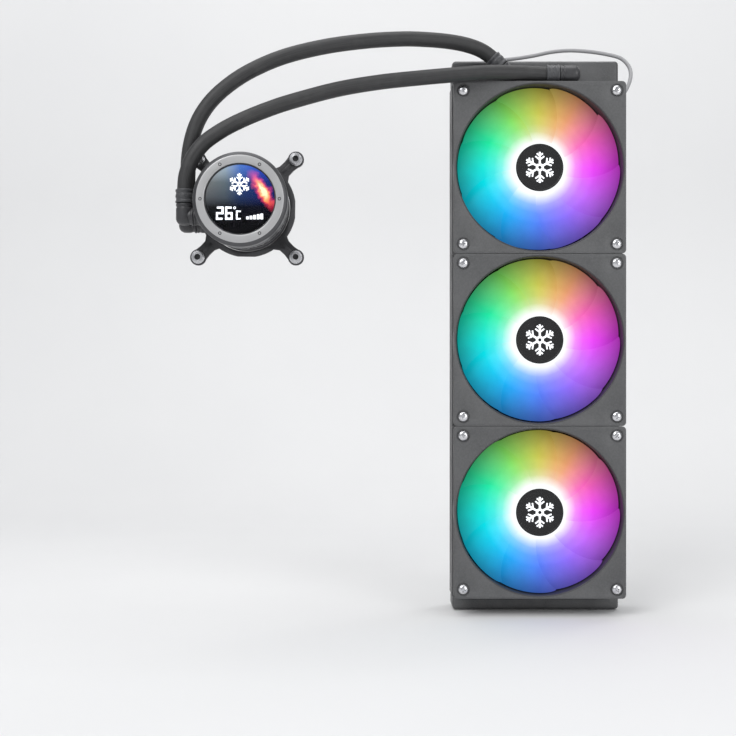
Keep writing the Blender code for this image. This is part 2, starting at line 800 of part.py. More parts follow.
def bracket_mesh():
    """The mounting bracket: a ring round the housing with an arm and a screw eye at each corner."""
    low, high = 5 * MM, 8 * MM
    reach = NUT_PITCH / 2
    ring = plate("bracket", [circle(0, 0, 39 * MM, 32), circle(0, 0, PUMP_R + 0.4 * MM, 32)], low, high)
    arms = []
    for i in range(4):
        turn = Matrix.Rotation(math.radians(45 + 90 * i), 4, "Y")
        start, end = 36 * MM, reach * math.sqrt(2)
        arms.append(moved(block("arm", (start, end), (low + 0.2 * MM, high - 0.2 * MM), (-5 * MM, 5 * MM)), turn))
        eye = turned("eye", [(0, low + 0.1 * MM), (6.5 * MM, low + 0.1 * MM), (6.5 * MM, high - 0.1 * MM), (0, high - 0.1 * MM)], 16)
        arms.append(moved(eye, turn @ Matrix.Translation((end, 0, 0)) @ FRONT))
    ring = combined("bracket", ring, arms)
    holes = [
        moved(
            turned("hole", [(0, low - 2 * MM), (2.2 * MM, low - 2 * MM), (2.2 * MM, high + 2 * MM), (0, high + 2 * MM)], 10),
            Matrix.Translation((sx * reach, 0, sz * reach)) @ FRONT,
        )
        for sx in (-1, 1)
        for sz in (-1, 1)
    ]
    return combined("mounting_bracket", ring, holes, "DIFFERENCE")


def nut_mesh():
    """A captive mounting screw: a hexagonal head over the bracket and a shank that reaches past the cold plate."""
    head = turned("head", [(0, 8.3 * MM), (5.2 * MM, 8.3 * MM), (5.2 * MM, 12.4 * MM), (4.4 * MM, 13.2 * MM), (0, 13.2 * MM)], 6)
    shank = turned("shank", [(0, -6 * MM), (1.8 * MM, -6 * MM), (1.8 * MM, 9 * MM), (0, 9 * MM)], 10)
    return combined("mounting_screw", head, [shank])


def build_pump():
    pump = empty("pump_head", (PUMP_X, -PLATE_H, PUMP_Z))
    rounds = {
        "plate_gasket": (
            [(24.4, 3.3), (27.1, 3.3), (27.1, 4.3), (24.4, 4.3)],
            32,
            "rubber",
        ),
        "pump_stator": (
            [(9.5, 42.3), (22, 42.3), (22, 50), (9.5, 50)],
            24,
            "winding",
        ),
        "pump_cover": (
            [(0, 51), (33, 51), (33, 42.3), (35.6, 42.3), (35.6, 56.3), (33.4, 56.3), (33.4, 53), (0, 53)],
            32,
            "dark_plastic",
        ),
        "display_panel": (
            [(0, 53.3), (33, 53.3), (33, 56), (0, 56)],
            28,
            "display_screen",
        ),
        "bezel_ring": (
            [(26.4, 56.6), (36, 56.6), (36, 59.6), (33.4, 61.5), (26.4, 61.5)],
            36,
            "silver_metal",
        ),
        "display_lens": (
            [(0, 56.3), (26, 56.3), (26, 59.2), (25.2, 60), (0, 60)],
            32,
            "display_glass",
        ),
    }
    for name, (profile, steps, slot) in rounds.items():
        mesh = turned(name, [(r * MM, h * MM) for r, h in profile], steps)
        add(name, moved(mesh, FRONT), slot, pump)
    add("cold_plate", cold_plate_mesh(), "copper", pump)
    add("pump_housing", housing_mesh(), "dark_plastic", pump)
    add("pump_impeller", impeller_mesh(), "dark_plastic", pump)
    add("mounting_bracket", bracket_mesh(), "steel", pump)
    screw = nut_mesh()
    corners = [(-1, 1), (1, 1), (-1, -1), (1, -1)]
    for n, (sx, sz) in enumerate(corners, 1):
        place = Matrix.Translation((sx * NUT_PITCH / 2, 0, sz * NUT_PITCH / 2)) @ FRONT
        add(f"mounting_screw_{n}", screw, "steel", pump, place)


def main():
    for obj in list(bpy.data.objects):
        bpy.data.objects.remove(obj)
    build_radiator()
    build_fans()
    build_hoses()
    build_fan_lead()
    build_pump()


main()
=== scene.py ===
"""The looks of a sealed liquid cooler: a long radiator with three lit fans, two hoses and a round pump head.

Depths in front of the radiator's rear plane are called h, so y = -h. Sizes are written in millimetres.
"""

from math import cos, hypot, pi, radians, sin, sqrt

import bmesh
import bpy
from mathutils import Matrix, Vector


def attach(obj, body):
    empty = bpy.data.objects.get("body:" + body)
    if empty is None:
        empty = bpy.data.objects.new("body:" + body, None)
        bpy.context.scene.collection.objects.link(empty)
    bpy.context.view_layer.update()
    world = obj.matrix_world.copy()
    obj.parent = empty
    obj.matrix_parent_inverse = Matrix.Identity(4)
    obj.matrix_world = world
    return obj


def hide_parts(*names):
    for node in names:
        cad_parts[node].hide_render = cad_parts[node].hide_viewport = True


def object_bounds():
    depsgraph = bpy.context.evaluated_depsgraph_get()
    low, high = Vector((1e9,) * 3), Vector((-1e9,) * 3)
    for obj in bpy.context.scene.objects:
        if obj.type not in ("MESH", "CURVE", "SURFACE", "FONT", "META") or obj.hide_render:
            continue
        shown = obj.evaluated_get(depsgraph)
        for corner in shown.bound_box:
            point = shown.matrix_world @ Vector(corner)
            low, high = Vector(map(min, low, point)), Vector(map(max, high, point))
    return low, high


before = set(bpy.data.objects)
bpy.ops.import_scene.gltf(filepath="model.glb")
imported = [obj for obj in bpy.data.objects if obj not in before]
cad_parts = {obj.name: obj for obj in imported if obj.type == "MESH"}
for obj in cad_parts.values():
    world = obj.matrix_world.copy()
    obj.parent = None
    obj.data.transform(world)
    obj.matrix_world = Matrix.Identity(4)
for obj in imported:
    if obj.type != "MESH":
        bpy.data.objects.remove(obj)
cad_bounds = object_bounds()

MM = 0.001


def world_point(x, h, z):
    """A place in metres, from millimetres and a depth."""
    return Vector((x, -h, z)) * MM


def turned(degrees, axis="Y"):
    return Matrix.Rotation(radians(degrees), 4, axis)


FAN_ROWS = {"fan_1": 140, "fan_2": 0, "fan_3": -140}
PUMP_X, PUMP_H, PUMP_Z = -236, 58.6, 104.6
PUMP_AT = world_point(PUMP_X, PUMP_H, PUMP_Z)
DISPLAY_R = 26
FAN_BACK = 27.3  # the depth of a fan's rear flange
FAN_FRONT = FAN_BACK + 25
SCREW_AT = 62.25  # from a fan's axis to each of its screws, across and up
BOLT_AT = 39  # the same from the pump head's axis
CORNERS = [(-1, 1), (1, 1), (-1, -1), (1, -1)]
BORE_R, BORE_OUT_R, HUB_R, TIP_R = 67.4, 69.4, 22, 66.3
BLADES = 9
HOSE_R = 6
LEAD_R = 1.58
TURN_FRONT = turned(90, "X")  # turns local Z to -Y, so that a lathe's z is a depth


# ---------------------------------------------------------------- shaders


class Shader:
    """A Principled material and short ways to add nodes to it."""

    def __init__(self, name, colour=(0.5, 0.5, 0.5), roughness=0.5, metallic=0.0, **constants):
        self.material = bpy.data.materials.new(name)
        self.material.use_nodes = True
        self.nodes = self.material.node_tree.nodes
        self.links = self.material.node_tree.links
        self.bsdf = self.nodes["Principled BSDF"]
        self.set("Base Color", (*colour, 1))
        self.set("Roughness", roughness)
        self.set("Metallic", metallic)
        for socket, value in constants.items():
            self.set(socket.replace("_", " "), value)

    def set(self, socket, value):
        self.bsdf.inputs[socket].default_value = value

    def wire(self, output, socket):
        self.links.new(output, self.bsdf.inputs[socket])

    def node(self, kind, inputs=None, **settings):
        made = self.nodes.new("ShaderNode" + kind)
        for key, value in settings.items():
            setattr(made, key, value)
        for key, value in (inputs or {}).items():
            if isinstance(value, bpy.types.NodeSocket):
                self.links.new(value, made.inputs[key])
            else:
                made.inputs[key].default_value = value
        return made

    def place(self, scale=(1, 1, 1), turn=(0, 0, 0), shift=(0, 0, 0)):
        coords = self.node("TexCoord").outputs["Object"]
        mapping = self.node(
            "Mapping", {"Vector": coords, "Scale": scale, "Rotation": turn, "Location": shift}
        )
        return mapping.outputs[0]

    def noise(self, size, detail, where=None):
        """Noise whose features are about size millimetres wide."""
        inputs = {"Vector": where or self.place(), "Scale": 1000 / size, "Detail": detail, "Roughness": 0.55}
        return self.node("TexNoise", inputs).outputs[0]

    def maths(self, operation, a, b=0.0):
        return self.node("Math", {0: a, 1: b}, operation=operation).outputs[0]

    def times(self, a, b):
        return self.maths("MULTIPLY", a, b)

    def plus(self, a, b):
        return self.maths("ADD", a, b)

    def minus(self, a, b):
        return self.maths("SUBTRACT", a, b)

    def span(self, value, low, high, to_low=0.0, to_high=1.0):
        keys = {"Value": value, "From Min": low, "From Max": high, "To Min": to_low, "To Max": to_high}
        return self.node("MapRange", keys).outputs[0]

    def ramp(self, value, stops):
        """A colour for each value, between (value, colour) stops. A plain number stands for a grey."""
        node = self.node("ValToRGB", {0: value})
        ramp = node.color_ramp
        while len(ramp.elements) < len(stops):
            ramp.elements.new(0.5)
        for element, (place, colour) in zip(ramp.elements, stops):
            element.position = place
            element.color = (*colour, 1) if isinstance(colour, tuple) else (colour, colour, colour, 1)
        return node.outputs[0]

    def apart(self, where=None):
        """The three parts of a vector, by default of the place on the object."""
        return self.node("SeparateXYZ", {0: where or self.place()}).outputs

    def radius(self, parts):
        """How far a place is from the Y axis."""
        square = self.plus(self.maths("POWER", parts[0], 2), self.maths("POWER", parts[2], 2))
        return self.maths("SQRT", square)

    def circles(self, x, z, pitch):
        """Noise in circles about pitch millimetres apart, round the Y axis through x and z."""
        radius = self.radius(self.apart(self.place(shift=(-x * MM, 0, -z * MM))))
        across = self.times(radius, 1000 / pitch)
        return self.node("TexNoise", {"W": across, "Scale": 1, "Detail": 2}, noise_dimensions="1D").outputs[0]

    def sine(self, value):
        return self.node("Math", {0: value}, operation="SINE").outputs[0]

    def blend(self, kind, a, b):
        return self.node("Mix", {0: 1.0, 6: a, 7: b}, data_type="RGBA", blend_type=kind).outputs[2]

    def uneven(self, lines, cloud, low, high, spread):
        """Wires a roughness that follows fine lines, and drifts with a cloud."""
        drift = self.span(cloud, 0.3, 0.7, *spread)
        self.wire(self.plus(self.span(lines, 0.3, 0.7, low, high), drift), "Roughness")

    def mix(self, share, a, b):
        node = self.node("Mix", {0: share}, data_type="RGBA")
        for socket, value in ((6, a), (7, b)):
            if isinstance(value, bpy.types.NodeSocket):
                self.links.new(value, node.inputs[socket])
            else:
                node.inputs[socket].default_value = (*value, 1)
        return node.outputs[2]

    def bump(self, height, strength, depth_mm, under=None):
        inputs = {"Height": height, "Strength": strength, "Distance": depth_mm * MM}
        if under is not None:
            inputs["Normal"] = under
        return self.node("Bump", inputs).outputs[0]


RUB = 0.175  # the share that handling adds to a surface's roughness or takes away


def grained(name, colour, roughness, grain, depth, metallic=0.0, mottle=0.25, **constants):
    """A moulded or coated surface: fine grain, faint mottling, and a roughness that handling has changed."""
    s = Shader(name, colour, roughness, metallic, **constants)
    cloud = s.noise(23, 4)
    dark = tuple(c * (1 - mottle) for c in colour)
    light = tuple(min(1, c * (1 + mottle)) for c in colour)
    tone = s.ramp(cloud, [(0.3, dark), (0.7, light)])
    speck = s.noise(grain * 2.2, 2)
    s.wire(
        s.mix(s.span(speck, 0.35, 0.75, 0, 0.35), tone, tuple(min(1, c * 1.7) for c in colour)), "Base Color"
    )
    smear = s.noise(9, 3, where=s.place(scale=(1, 1, 0.25)))
    s.wire(s.span(smear, 0.3, 0.7, roughness * (1 - RUB), roughness * (1 + RUB)), "Roughness")
    s.wire(s.bump(s.noise(grain, 3), 0.55, depth), "Normal")
    return s.material


def brushed(name, colour, roughness):
    """Metal with fine straight brushing along Y."""
    s = Shader(name, colour, roughness, 1.0)
    lines = s.noise(0.35, 2, where=s.place(scale=(1, 1, 1 / 60), turn=(radians(90), 0, 0)))
    cloud = s.noise(8, 3)
    s.wire(s.mix(s.span(lines, 0.3, 0.7), tuple(c * 0.82 for c in colour), colour), "Base Color")
    s.uneven(lines, cloud, roughness - 0.06, roughness + 0.08, (-0.04, 0.06))
    s.wire(s.bump(lines, 0.3, 0.02), "Normal")
    return s.material


def turned_metal(name, colour, roughness, metallic):
    """Metal with the fine circles that a lathe leaves, round the pump head's axis."""
    s = Shader(name, colour, roughness, metallic)
    rings = s.circles(PUMP_X, PUMP_Z, 0.25)
    cloud = s.noise(6, 3)
    s.wire(s.mix(s.span(rings, 0.3, 0.7), tuple(c * 0.86 for c in colour), colour), "Base Color")
    s.uneven(rings, cloud, roughness - 0.05, roughness + 0.07, (-0.03, 0.06))
    s.wire(s.bump(rings, 0.25, 0.02), "Normal")
    return s.material


def rubber_hose(name):
    """Matte rubber with the fine draw lines and faint bloom of an extruded hose."""
    s = Shader(name, (0.05, 0.05, 0.052), 0.55, Specular_IOR_Level=0.42)
    # U is the length in metres and V the way round in turns.
    u, v, _ = s.apart(s.node("TexCoord").outputs["UV"])
    ribs = s.sine(s.times(v, 2 * pi * 34))
    along = s.node("CombineXYZ", {0: s.times(u, 30), 1: s.times(v, 60)})
    streak = s.node("TexNoise", {"Vector": along.outputs[0], "Scale": 1.0, "Detail": 4.0}).outputs[0]
    bloom = s.noise(14, 4)
    base = s.mix(s.span(streak, 0.35, 0.7), (0.022, 0.022, 0.023), (0.042, 0.042, 0.043))
    s.wire(s.mix(s.span(bloom, 0.5, 0.75, 0, 0.35), base, (0.065, 0.065, 0.065)), "Base Color")
    s.uneven(streak, bloom, 0.46, 0.58, (-0.03, 0.07))
    fine = s.bump(s.noise(0.5, 3), 0.4, 0.05)
    s.wire(s.bump(ribs, 0.22, 0.06, fine), "Normal")
    return s.material


def glowing_blades(name):
    """Frosted blades lit from the hub: hues run round the fan, white at the hub and deeper at the tips."""
    s = Shader(name, (0.02, 0.02, 0.022), 0.45, Specular_IOR_Level=0.06)
    # A rotor's own origin is the fan's axis, so its own X and Z give the way round.
    parts = s.apart()
    angle = s.node("Math", {0: parts[2], 1: parts[0]}, operation="ARCTAN2").outputs[0]
    turn = s.maths("FRACT", s.plus(s.maths("DIVIDE", angle, 2 * pi), 1.0))
    magenta = (0.90, 0.06, 1.0)
    hues = s.ramp(
        turn,
        [
            (0.00, magenta),
            (0.08, (0.93, 0.12, 0.50)),
            (0.167, (0.86, 0.36, 0.16)),
            (0.25, (0.62, 0.60, 0.08)),
            (0.333, (0.23, 0.76, 0.13)),
            (0.417, (0.02, 0.86, 0.37)),
            (0.50, (0.00, 0.85, 0.76)),
            (0.583, (0.00, 0.69, 0.96)),
            (0.667, (0.015, 0.42, 1.00)),
            (0.75, (0.09, 0.23, 1.00)),
            (0.833, (0.28, 0.16, 1.00)),
            (0.917, (0.58, 0.14, 1.00)),
            (1.00, magenta),
        ],
    )
    radius = s.times(s.radius(parts), 1000)
    white = s.ramp(
        s.span(radius, 20, 66),
        [(0.0, 1), (0.06, 0.86), (0.12, 0.60), (0.22, 0.22), (0.36, 0.06), (0.55, 0)],
    )
    colour = s.mix(white, hues, (0.97, 1.0, 1.0))
    grain = s.noise(0.7, 3)
    s.wire(s.span(grain, 0.3, 0.7, 0.34, 0.50), "Roughness")
    s.wire(s.bump(grain, 0.25, 0.05), "Normal")
    s.wire(s.mix(0.985, colour, (0.008, 0.008, 0.009)), "Base Color")
    s.wire(colour, "Emission Color")
    mottle = s.span(s.noise(9, 2), 0.3, 0.7, 0.96, 1.03)
    fall = s.ramp(
        s.span(radius, 20, 68),
        [(0.0, 1.1), (0.45, 1.0), (0.62, 0.80), (0.86, 0.46), (1.0, 0.30)],
    )
    s.wire(s.times(mottle, fall), "Emission Strength")
    return s.material


def screen_picture(name):
    """The display's picture: a dark blue sky that greys to the left, with an orange flare at the right."""
    s = Shader(name, (0.004, 0.004, 0.006), 0.25, Specular_IOR_Level=0.08)
    parts = s.apart(s.place(shift=(-PUMP_X * MM, 0, -PUMP_Z * MM)))
    x = s.times(parts[0], 1000 / DISPLAY_R)
    z = s.times(parts[2], 1000 / DISPLAY_R)
    grey = s.ramp(
        s.span(x, -1, 0.6),
        [
            (0.0, (0.14, 0.15, 0.15)), (0.35, (0.09, 0.12, 0.14)), (0.62, (0.02, 0.05, 0.15)),
            (1.0, (0.008, 0.02, 0.15)),
        ],
    )
    bright = s.ramp(
        s.span(z, -0.55, 0.95),
        [(0.0, 0), (0.22, 0.04), (0.42, (0.55, 0.55, 0.6)), (0.7, 1.0), (1.0, (3.2, 3.1, 3.2))],
    )
    sky = s.blend("MULTIPLY", grey, bright)
    # The flare is a streak that slants from the upper middle down to the right edge, yellow at its heart.
    drift = s.span(s.noise(6, 3), 0.3, 0.7, -0.07, 0.07)
    across = s.plus(s.plus(s.times(x, 0.84), s.times(z, 0.54)), drift)
    along = s.minus(s.times(z, 0.84), s.times(x, 0.54))
    width = s.maths("POWER", s.maths("DIVIDE", s.minus(across, 0.68), 0.16), 2)
    reach = s.maths("POWER", s.maths("DIVIDE", s.minus(along, -0.14), 0.50), 2)
    power = s.maths("POWER", 2.718, s.times(s.plus(width, reach), -1.0))
    flare = s.ramp(
        power,
        [
            (0.10, (0, 0, 0)), (0.28, (0.30, 0.01, 0.03)), (0.5, (0.70, 0.07, 0.03)),
            (0.72, (1.0, 0.36, 0.06)), (0.92, (1.0, 0.86, 0.42)),
        ],
    )
    s.wire(s.blend("ADD", sky, flare), "Emission Color")
    s.set("Emission Strength", 1.25)
    lcd = s.node("TexVoronoi", {"Vector": s.place(), "Scale": 1000 / 0.22}).outputs["Distance"]
    s.wire(s.span(lcd, 0.0, 0.8, 0.2, 0.3), "Roughness")
    return s.material


def lit(name, colour, strength):
    """A surface that glows with a faint grain."""
    s = Shader(name, tuple(c * 0.8 for c in colour), 0.4)
    s.wire(
        s.mix(s.span(s.noise(0.8, 2), 0.3, 0.7, 0, 0.25), colour, tuple(c * 0.85 for c in colour)),
        "Emission Color",
    )
    s.set("Emission Strength", strength)
    return s.material


def fin_paint(name):
    """Thin satin black paint on folded fins, with the louvres pressed into them."""
    s = Shader(name, (0.06, 0.06, 0.062), 0.42, 0.3)
    slats = s.sine(s.times(s.apart()[1], 2 * pi * 1000 / 1.5))
    cloud = s.noise(17, 4)
    s.wire(s.ramp(cloud, [(0.3, (0.045, 0.045, 0.047)), (0.7, (0.085, 0.085, 0.088))]), "Base Color")
    s.wire(s.span(s.noise(1.4, 3), 0.3, 0.7, 0.34, 0.52), "Roughness")
    s.wire(s.bump(slats, 0.5, 0.15), "Normal")
    return s.material


def copper_milled(name):
    """Bare copper with fine arcs from the face mill and a light tarnish."""
    s = Shader(name, (0.78, 0.36, 0.22), 0.25, 1.0)
    arcs = s.circles(PUMP_X - 90, PUMP_Z, 0.3)
    tarnish = s.noise(12, 5)
    fresh = s.mix(s.span(arcs, 0.3, 0.7), (0.66, 0.29, 0.17), (0.84, 0.42, 0.27))
    s.wire(s.mix(s.span(tarnish, 0.52, 0.8, 0, 0.6), fresh, (0.34, 0.13, 0.07)), "Base Color")
    s.wire(s.plus(s.span(arcs, 0.3, 0.7, 0.18, 0.30), s.span(tarnish, 0.4, 0.8, 0, 0.15)), "Roughness")
    s.wire(s.bump(arcs, 0.35, 0.02), "Normal")
    return s.material


def wound_copper(name):
    """Enamelled wire: fine turns side by side."""
    s = Shader(name, (0.60, 0.26, 0.10), 0.3, 0.9, Coat_Weight=0.5)
    turns = s.node(
        "TexWave", {"Vector": s.place(), "Scale": 1000 / 2.4, "Distortion": 0.6}, bands_direction="Y"
    ).outputs[1]
    s.wire(s.mix(turns, (0.30, 0.11, 0.04), (0.70, 0.32, 0.13)), "Base Color")
    s.wire(s.bump(turns, 0.8, 0.12), "Normal")
    return s.material


def braided_sleeve(name):
    """A cable in a woven grey sleeve. U is the length in metres and V the way round."""
    s = Shader(name, (0.30, 0.30, 0.31), 0.6)
    u, v, _ = s.apart(s.node("TexCoord").outputs["UV"])
    along = s.times(u, 2 * pi * 1000 / 1.6)
    around = s.times(v, 2 * pi * 6)
    over = s.sine(s.plus(along, around))
    under = s.sine(s.minus(along, around))
    weave = s.span(s.times(over, under), -1, 1)
    s.wire(s.mix(weave, (0.20, 0.20, 0.21), (0.42, 0.42, 0.43)), "Base Color")
    s.wire(s.span(s.noise(3, 3), 0.3, 0.7, 0.52, 0.7), "Roughness")
    s.wire(s.bump(weave, 0.6, 0.1), "Normal")
    return s.material


def clear_glass(name):
    """Glass with faint smears."""
    s = Shader(name, (1, 1, 1), 0.02, 0.0, IOR=1.13)
    s.set("Transmission Weight", 1.0)
    s.wire(s.span(s.noise(12, 4), 0.45, 0.8, 0.01, 0.06), "Roughness")
    return s.material


COAT = grained("radiator_coat", (0.080, 0.081, 0.083), 0.47, 0.55, 0.05, metallic=0.2)
FIN = fin_paint("fin_paint")
TUBE_PAINT = grained("tube_paint", (0.060, 0.060, 0.062), 0.40, 0.4, 0.02, metallic=0.5)
FRAME = grained("frame_plastic", (0.080, 0.081, 0.083), 0.58, 0.6, 0.05, mottle=0.10)
FRAME_DARK = grained("frame_inner_plastic", (0.040, 0.040, 0.042), 0.5, 0.5, 0.04)
BLADE = glowing_blades("lit_blades")
CAP = grained("hub_cap_plastic", (0.009, 0.009, 0.010), 0.42, 0.35, 0.02, Specular_IOR_Level=0.35)
EMBLEM = lit("emblem_white", (0.95, 0.97, 1.0), 0.55)
DARK = grained("dark_plastic", (0.034, 0.034, 0.037), 0.42, 0.6, 0.05)
COVER = grained("cover_plastic", (0.050, 0.051, 0.055), 0.45, 0.5, 0.04)
STEEL = brushed("zinc_steel", (0.72, 0.72, 0.74), 0.24)
DULL_STEEL = brushed("dull_steel", (0.52, 0.52, 0.54), 0.34)
BRACKET = grained("bracket_coat", (0.055, 0.055, 0.058), 0.42, 0.5, 0.04, metallic=0.6)
HOSE = rubber_hose("hose_rubber")
BLACK_RUBBER = grained("pad_rubber", (0.028, 0.028, 0.029), 0.72, 0.8, 0.08)
RING = turned_metal("bezel_metal", (0.52, 0.52, 0.525), 0.42, 0.85)
# The bezel's edge: the same turned metal as its face, painted dark as shade on the bevel.
BEZEL_EDGE_PAINTED_SHADE = turned_metal("bezel_edge_painted_shade", (0.10, 0.10, 0.105), 0.34, 0.8)
SCREEN = screen_picture("display_picture")
WORD = lit("display_digits", (0.92, 0.95, 1.0), 1.1)
COPPER = copper_milled("milled_copper")
WINDING = wound_copper("wound_copper")
GLASS = clear_glass("lens_glass")
SLEEVE = braided_sleeve("lead_sleeve")


# ---------------------------------------------------------------- mesh makers


def linked(name, data):
    """An object in the scene."""
    obj = bpy.data.objects.new(name, data)
    bpy.context.scene.collection.objects.link(obj)
    return obj


def shaded(obj, angle=35):
    """Shades the object smooth, but for its edges sharper than the angle."""
    obj.data.shade_smooth()
    obj.data.set_sharp_from_angle(angle=radians(angle))
    return obj


def done(name, bm, material, smooth=35, weld=True):
    """An object from bm: faces out, smooth but for its sharp edges."""
    if weld:
        bmesh.ops.remove_doubles(bm, verts=bm.verts, dist=1e-6)
        bmesh.ops.recalc_face_normals(bm, faces=bm.faces)
    mesh = bpy.data.meshes.new(name)
    bm.to_mesh(mesh)
    bm.free()
    for one in material if isinstance(material, (list, tuple)) else [material]:
        mesh.materials.append(one)
    return shaded(linked(name, mesh), smooth)


def lathe(bm, profile, steps=64, matrix=None, slot=0):
    """Adds a turned shape round local Z to bm, from (radius, z) points in millimetres.

    It closes on the axis, or round a ring where no point lies on the axis.
    """
    rings = []
    for radius, z in profile:
        if radius < 1e-6:
            rings.append([bm.verts.new((0, 0, z * MM))] * steps)
            continue
        turn = 2 * pi / steps
        rings.append(
            [
                bm.verts.new((radius * MM * cos(i * turn), radius * MM * sin(i * turn), z * MM))
                for i in range(steps)
            ]
        )
    closed = min(r for r, _ in profile) > 1e-6
    made = {v for ring in rings for v in ring}
    for low, high in list(zip(rings, rings[1:])) + ([(rings[-1], rings[0])] if closed else []):
        for i in range(steps):
            j = (i + 1) % steps
            corners = list(dict.fromkeys([low[i], low[j], high[j], high[i]]))
            if len(corners) > 2:
                bm.faces.new(corners).material_index = slot
    if matrix is not None:
        bmesh.ops.transform(bm, matrix=matrix, verts=list(made))


def rounded(profile, radius, steps=3, closed=False):
    """The profile with each of its corners rounded."""
    out = []
    count = len(profile)
    for i, point in enumerate(profile):
        if not closed and i in (0, count - 1):
            out.append(point)
            continue
        p, a, b = Vector(point), Vector(profile[i - 1]), Vector(profile[(i + 1) % count])
        r = min(radius, (a - p).length * 0.45, (b - p).length * 0.45)
        if r < 1e-4 or abs((a - p).normalized().dot((b - p).normalized()) + 1) < 1e-3:
            out.append(point)
            continue
        start, end = p + (a - p).normalized() * r, p + (b - p).normalized() * r
        for k in range(steps + 1):
            t = k / steps
            out.append(tuple((1 - t) ** 2 * start + 2 * t * (1 - t) * p + t * t * end))
    return out


def prism(bm, loops, low, high):
    """Adds a flat plate with holes to bm: (x, z) loops in millimetres, between the depths low and high."""
    edges = []
    for loop in loops:
        verts = [bm.verts.new((x * MM, -low * MM, z * MM)) for x, z in loop]
        edges += [bm.edges.new((a, b)) for a, b in zip(verts, verts[1:] + verts[:1])]
    filled = bmesh.ops.triangle_fill(bm, use_beauty=True, use_dissolve=False, edges=edges)
    faces = [g for g in filled["geom"] if isinstance(g, bmesh.types.BMFace)]
    made = bmesh.ops.extrude_face_region(bm, geom=faces)
    far = [v for v in made["geom"] if isinstance(v, bmesh.types.BMVert)]
    bmesh.ops.translate(bm, vec=(0, (low - high) * MM, 0), verts=far)


def circle(x, z, radius, steps):
    return [
        (x + radius * cos(2 * pi * i / steps), z + radius * sin(2 * pi * i / steps)) for i in range(steps)
    ]


def round_box(half_x, half_z, radius, steps):
    """The outline of a box with round corners."""
    points = []
    for quarter in range(4):
        cx = (half_x - radius) * (1 if quarter in (0, 3) else -1)
        cz = (half_z - radius) * (1 if quarter < 2 else -1)
        for i in range(steps + 1):
            a = pi / 2 * (quarter + i / steps)
            points.append((cx + radius * cos(a), cz + radius * sin(a)))
    return points


def brick(bm, x, h, z, bevel, steps=1, matrix=None):
    """Adds a box with rounded edges: (low, high) pairs of x, depth and z in millimetres."""
    before = set(bm.verts)
    made = bmesh.ops.create_cube(bm, size=1)
    size = Vector((x[1] - x[0], h[1] - h[0], z[1] - z[0])) * MM
    middle = Vector((x[0] + x[1], -h[0] - h[1], z[0] + z[1])) * MM / 2
    place = Matrix.Translation(middle) @ Matrix.Diagonal(size).to_4x4()
    bmesh.ops.transform(bm, matrix=place, verts=made["verts"])
    if bevel:
        edges = list(dict.fromkeys(e for v in made["verts"] for e in v.link_edges))
        bmesh.ops.bevel(bm, geom=edges, offset=bevel * MM, segments=steps, profile=0.5, affect="EDGES")
    if matrix is not None:
        bmesh.ops.transform(bm, matrix=matrix, verts=[v for v in bm.verts if v not in before])


def skin(bm, rows, closed=False, slot=0):
    """Joins each row of vertices to the next, round a closed ring or along an open strip."""
    for low, high in zip(rows, rows[1:]):
        count = len(low)
        for i in range(count if closed else count - 1):
            j = (i + 1) % count
            bm.faces.new((low[i], low[j], high[j], high[i])).material_index = slot


def bar(bm, section, low, high):
    """A straight bar of one (x, h) section in millimetres, between two heights."""
    rows = [[bm.verts.new((x * MM, -h * MM, z * MM)) for x, h in section] for z in (low, high)]
    skin(bm, rows, closed=True)
    bm.faces.new(rows[0])
    bm.faces.new(rows[1])


def reopened(obj):
    """A bmesh of the object's mesh. The object itself goes."""
    bm = bmesh.new()
    bm.from_mesh(obj.data)
    bpy.data.objects.remove(obj)
    return bm


def faced_out(obj):
    """Turns the object's faces to the outside."""
    bm = bmesh.new()
    bm.from_mesh(obj.data)
    bmesh.ops.recalc_face_normals(bm, faces=bm.faces)
    bm.to_mesh(obj.data)
    bm.free()
    return obj


def bevelled(obj, width):
    """Rounds an object's sharp edges for good."""
    bm = bmesh.new()
    bm.from_mesh(obj.data)
    bmesh.ops.dissolve_limit(bm, angle_limit=radians(0.5), verts=bm.verts, edges=bm.edges)
    sharp = [e for e in bm.edges if len(e.link_faces) == 2 and e.calc_face_angle(0) > radians(40)]
    bmesh.ops.bevel(
        bm, geom=sharp, offset=width * MM, segments=2, profile=0.5, affect="EDGES", clamp_overlap=True
    )
    bm.to_mesh(obj.data)
    bm.free()
    return shaded(obj)


def cut(obj, cutters):
    """Takes the cutters' shapes out of obj for good."""
    for cutter in cutters:
        tool = obj.modifiers.new("cut", "BOOLEAN")
        tool.operation = "DIFFERENCE"
        tool.object = cutter
    bpy.context.view_layer.update()
    mesh = bpy.data.meshes.new_from_object(obj.evaluated_get(bpy.context.evaluated_depsgraph_get()))
    obj.modifiers.clear()
    obj.data = mesh
    for cutter in cutters:
        bpy.data.objects.remove(cutter)
    return shaded(obj)


def standing(point, direction):
    """The matrix that stands local Z along direction at a point given as (x, h, z) in millimetres."""
    return Matrix.Translation(
        world_point(*point)
    ) @ Vector(direction).to_track_quat("Z", "Y").to_matrix().to_4x4()


def at(x, h, z):
    """The matrix that turns local Z to the front at (x, h, z)."""
    return Matrix.Translation(world_point(x, h, z)) @ TURN_FRONT


